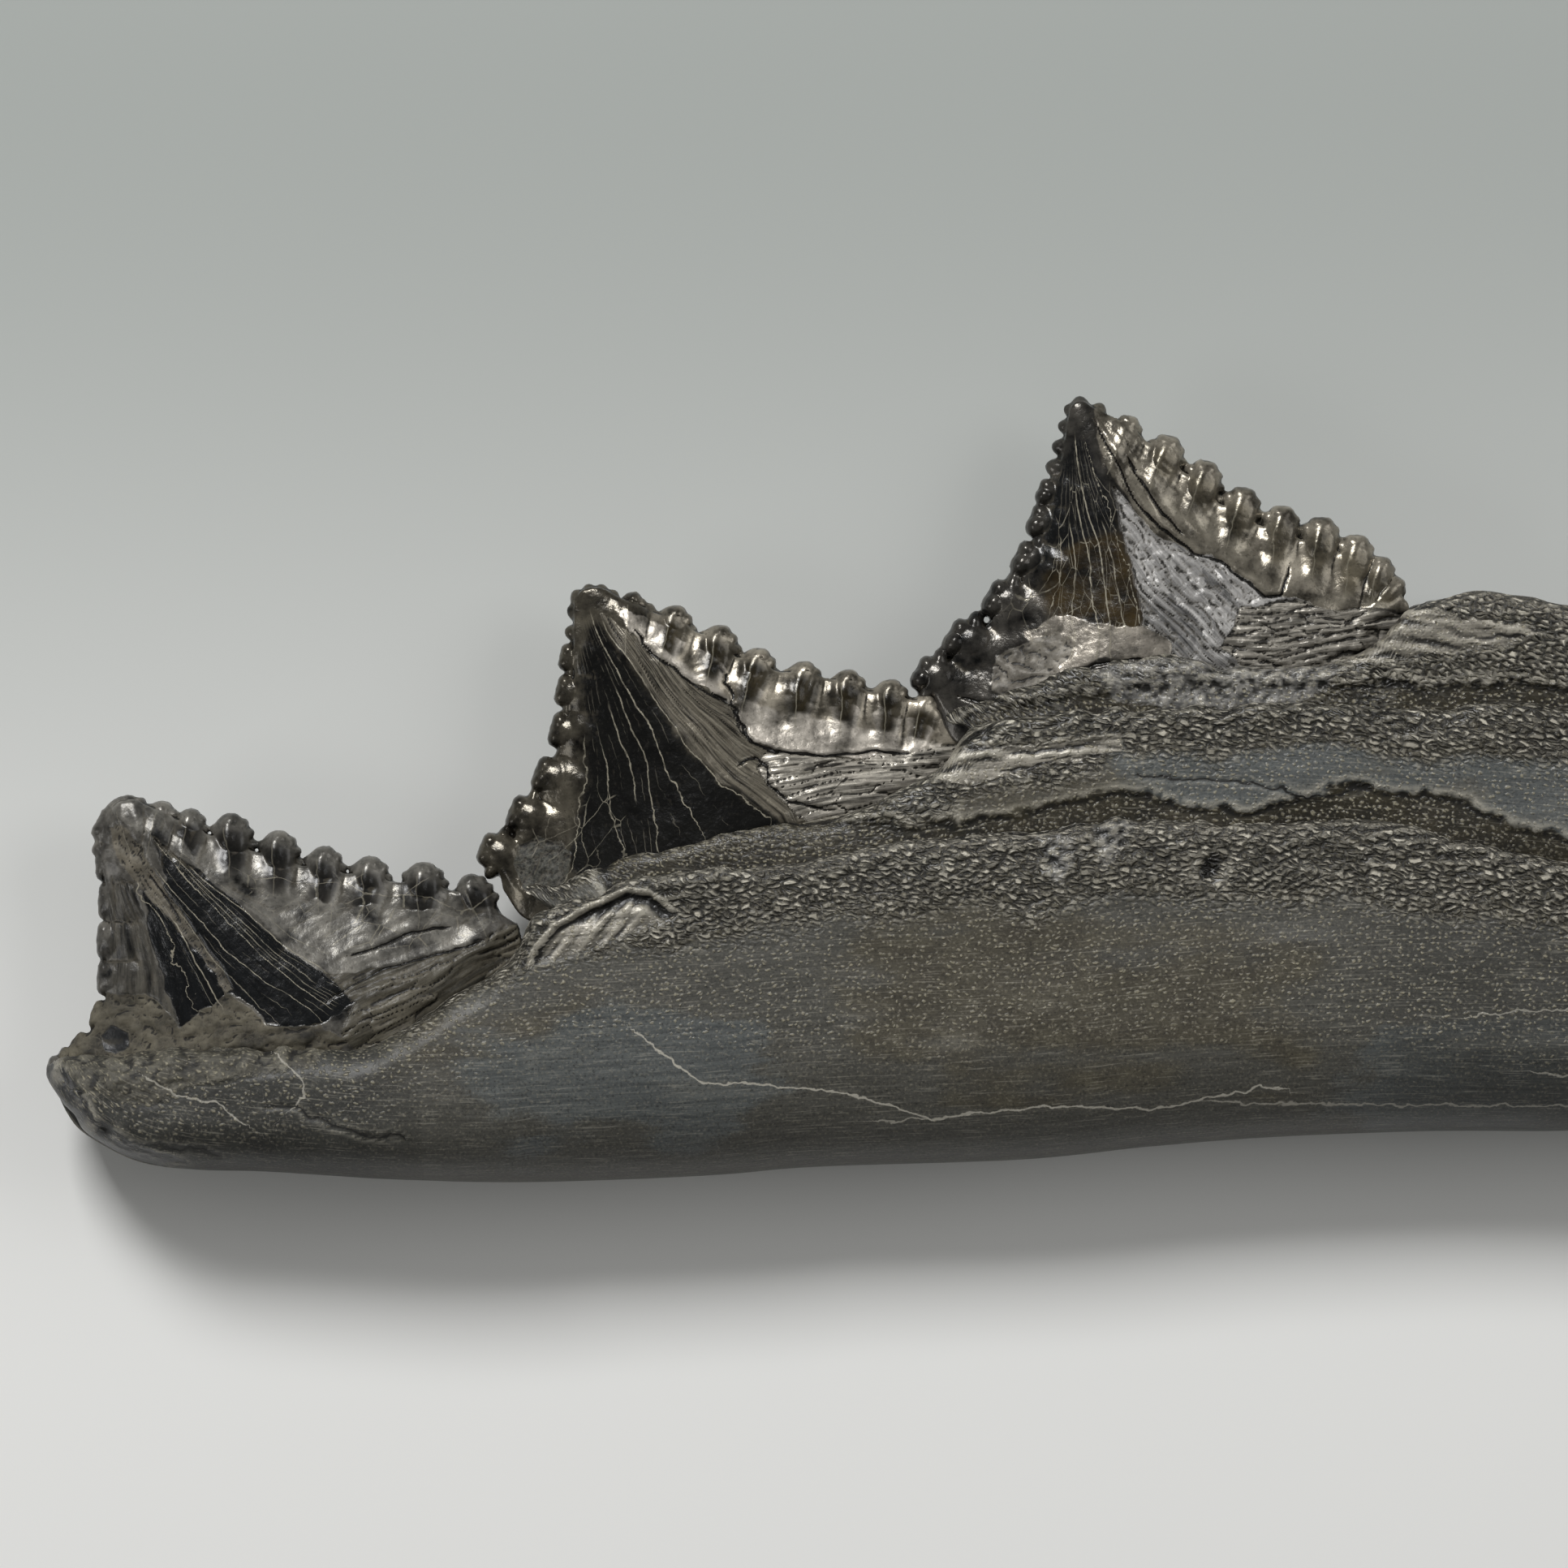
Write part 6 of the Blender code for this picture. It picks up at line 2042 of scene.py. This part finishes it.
def rear_tooth() -> Tooth:
    """The rear tooth: amber-brown and tan enameloid, split by a fissure and worn off to dentine.

    Returns:
        The tooth.
    """
    # Polished enameloid: to the eye a gloss from black to amber-brown, with silvery splintered dentine
    # where it has worn through.
    base = Layer("", 0, "#060708", "#504d48", 0.22, 0.5, 0.06)
    layers = (
        Layer("wear", 0, "#24211c", "#8b8578", 0.26, 0.5, 0.06),
        # Ribs: pale caps and valleys, partly painted highlight, and dark middles, partly painted reflection.
        Layer("ribs", 1, "#3c3831", "#a19a8c", 0.28, 0.55, 0.04, 0.3, 0.45),
        Layer("ribs", 0, "#16140f", "#6e6758", 0.24, 0.4, 0.04, 0.3, 0.45),
        Layer("wear", 1, "#050402", "#31260f", 0.25, 0.0, 0.02, 0.25, 0.4),
        Layer("zones", 2, "#1f1d19", "#a0998e", 0.28, 0.45, 0.05),
        Layer("zones", 0, "#020303", "#101112", 0.22, 0.0, 0.02, 0.5),
        Layer("zones", 1, "#1f1f20", "#aaa8a5", 0.36, 0.2, 0.14, texture=Texture.LEAF),
        Layer("spots", 1, "#211f1b", "#a09b91", 0.34, 0.3, 0.08, texture=Texture.STREAK),
        Layer("wear", 2, "#2f2c27", "#7b766d", 0.5, 0.1, 0.08),
    )
    crown = Crown(
        tip=drawn("23.5,30.8 23.9,31.4 24.6,31.5 25.4,31"),
        left_edge=drawn("""23.5,30.8 23.1,28.4 22.7,25.7 22.1,23.1 21.3,20.1 19.9,16.9 17.9,14.3 15.5,11.7
            13.2,9.6 12.2,7.9"""),
        right_edge=drawn("""25.4,31 27.9,29.6 30.6,27.5 33.6,25 36.4,22.6 39.5,21.1 42.7,20 45.9,18.8 48.6,17
            51.3,14.9"""),
        margin=drawn("12.2,7.9 13.6,5.7 16,4.9 19,5.6 23,7 28,8.2 34,8.8 40,9.3 46,10.6 51.3,12.8"),
        ridge_place=0.45, tip_half_thickness=1.1, base_half_thickness=4.6, lobes=REAR_LOBES,
        veins=veins("""
            0.06,0.08,0.11,0.15,0.18,0.22,0.26,0.38,0.72,0.8 0.11,0.14,0.17,0.22,0.25,0.29,0.33,0.35,0.9,0.8
            0.17,0.19,0.225,0.29,0.32,0.355,0.375,0.27,0.92 0.2,0.22,0.28,0.345,0.365,0.385,0.4,0.1,0.93
            0.28,0.31,0.35,0.39,0.405,0.42,0.435,0.4,0.85,0.8 0.31,0.35,0.4,0.435,0.45,0.46,0.47,0.12,0.87
        """),
        zones={
            "black": drawn("""23.9,28.4 24.9,28.1 26.6,24.4 27.6,20.7 24.3,20 21.6,18 20.3,17.7 21.3,20.4
                21.9,23.1 22.6,25.7 23.3,27.7"""),
            "tan": drawn("""24.3,21 27.3,22.4 28.3,18.4 29.3,15.1 29.5,12.7 26.3,12.4 22.3,13.1 20.9,15.1
                21.3,18.7"""),
            "streak": drawn("""25.8,33 30,32 36,28.2 42,24.6 48,22.4 52.2,18 52,14.2 44.6,14.3 39.6,15
                35.2,18.2 30.2,20.6 26.9,25.3 25.5,28.6"""),
            "plume": drawn("37.6,14.4 41.9,15.2 44.6,14.5 51.6,13.8 52,10.6 44,8.9 38,9 35.8,11.2"),
            "silver": drawn("""19.6,12.6 22.3,13.8 26.3,13 29.5,12.9 31.6,11.7 31.9,10.1 28.9,10.5 25.6,10.1
                22.9,9.1 21.3,9.2 20.6,11.1"""),
            "bare": drawn("""27.1,24.4 28.8,22.4 30.9,20.4 33.9,18.9 35.6,18.4 37.6,16.9 39.6,15.3 41.9,15.3
                44.6,14.4 49,13.4 49,10.4 42.9,9.4 35.6,8.7 32.3,9.4 31.6,11.7 29.5,12.9 29.1,15.1 28.3,18.4
                27.5,21.7"""),
            "matrix": drawn("17.3,10.3 19.3,11.4 22.3,12.4 23.7,11.4 22.3,9.1 21.6,8.1 18.6,7.1 17.1,7.7"),
            "ribbed": drawn("27,33.5 33,31.5 39,27.5 53,21 53,14 42,16 36,21 30,26"),
            "net": drawn("24,27 27.5,24 29.6,13 20.5,11 18,14 21.6,19"),
        },
        fissures=(
            drawn("""25.1,30.5 26.7,27.7 27.7,25.7 28.8,23.4 30.9,21.1 33.6,18.9 35.8,18.4 37.6,16.9
                39.6,15.4 40.9,15.5 41.3,17.4 41.5,19.1"""),
            drawn("28,27.1 29.8,24.4 31.1,22.1 33,20.3"),
            drawn("13.4,7.4 17,6.6 19.6,6.9 22.6,8.8 25.6,9.9 29,10.2 31.9,9.9"),
        ),
        dish_depth=0.0, bare_turn_deg=-46.0, soft_zones=("tan", "black"),
    )
    return Tooth(
        "rear_tooth", "brown_tooth", crown, CrownFinish("polished_enameloid_brown", base, layers),
        rear_root(), root_finish("wrinkled_fossil_root_brown_grey", "#4b4842", "#5d5a54"),
        RootMarks(
            grain_reach=drawn("13,8 108,12"),
            plume=(drawn("42,9.6 46,12 50,15 55.6,13.6 62.3,12.6 58.9,11.3 52.3,10.4"),),
            plume_turn_deg=-7.0, ridge=drawn("10,0 46,0 53,1 110,1"),
            blobs=(drawn("25,9.4 31,10.4 44,10.4 46,9.4 42,6.6 34,5.8 27,7"),),
            lumps=(Lump((32.3, 4.9), 0.5, 0.3),),
        ),
        300,
    )


@dataclass(frozen=True)
class Studio:
    """A pale floor, soft light from above the tips, and a camera that looks straight down on the jaw."""

    view_middle: Point = (-23.65, 0.4)
    view_width: float = 128.8
    camera_height: float = 700.0
    focus_height: float = 9.0
    sensor: float = 36.0
    floor_reach: float = 3.0

    def floor(self) -> None:
        """Adds the floor: a smooth matt painted board, pale grey, with painted shade darkening it upwards.
        """
        reach = self.floor_reach
        corners = np.array([[-reach, -reach, 0], [reach, -reach, 0], [reach, reach, 0], [-reach, reach, 0]])
        mesh = make_mesh("floor", corners, [(0, 1, 2, 3)])
        material = bpy.data.materials.new("smooth_painted_board_pale_grey")
        material.use_nodes = True
        board = Board(material.node_tree)
        place = board.add("TexCoord").outputs["Object"]
        height = board.add("SeparateXYZ", [place]).outputs[1]
        # Painted shade: the grey darkens towards +Y, above the tips.
        blend = board.add("MapRange", [height, -0.052, 0.062], interpolation_type="SMOOTHSTEP")
        tones = {0: blend, 6: linear("#d8d8d6"), 7: linear("#9a9e9b")}
        tint = board.add("Mix", tones, data_type="RGBA").outputs[2]
        shader = board.add("BsdfPrincipled", {
            "Base Color": tint, "Roughness": 0.7, "Specular IOR Level": 0.2,
        })
        board.add("OutputMaterial", {"Surface": shader})
        mesh.materials.append(material)
        floor = bpy.data.objects.new("floor", mesh)
        bpy.context.scene.collection.objects.link(floor)

    def lights(self) -> None:
        """Adds a soft light above the tips, weaker ones at both sides and a pale room."""
        middle = Vector((*self.view_middle, 0.0)) * MM
        for name, place, size, power in (
            ("key", (-0.35, 0.85, 0.85), 0.36, 16.0),
            ("fill", (0.95, 0.35, 0.8), 0.7, 4.0),
            ("low_left", (-1.1, -0.3, 0.6), 0.5, 3.0),
        ):
            data = bpy.data.lights.new(name, "AREA")
            data.size = size
            data.energy = power
            lamp = bpy.data.objects.new(name, data)
            lamp.location = middle + Vector(place)
            lamp.rotation_mode = "QUATERNION"
            lamp.rotation_quaternion = (-Vector(place)).to_track_quat("-Z", "Y")
            bpy.context.scene.collection.objects.link(lamp)
        world = bpy.data.worlds.new("room")
        world.use_nodes = True
        background = world.node_tree.nodes["Background"]
        background.inputs["Color"].default_value = linear("#e3e3e0")
        background.inputs["Strength"].default_value = 0.22
        bpy.context.scene.world = world

    def camera(self) -> None:
        """Adds the camera, straight above the part of the jaw that is in view."""
        data = bpy.data.cameras.new("camera")
        reach = self.camera_height - self.focus_height
        data.sensor_width = self.sensor
        data.lens = self.sensor * reach / self.view_width
        camera = bpy.data.objects.new("camera", data)
        camera.location = Vector((*self.view_middle, self.camera_height)) * MM
        bpy.context.scene.collection.objects.link(camera)
        bpy.context.scene.camera = camera
        bpy.context.scene.view_settings.view_transform = "Standard"


def main() -> None:
    """Builds the stage and the three teeth."""
    logging.basicConfig(level=logging.INFO, format="%(message)s")
    studio = Studio()
    studio.floor()
    studio.lights()
    studio.camera()
    serrations = SerrationTree()
    tree = serrations.build()
    for tooth in (front_tooth(), middle_tooth(), rear_tooth()):
        tooth.build(serrations, tree)


if __name__ == "__main__":
    main()
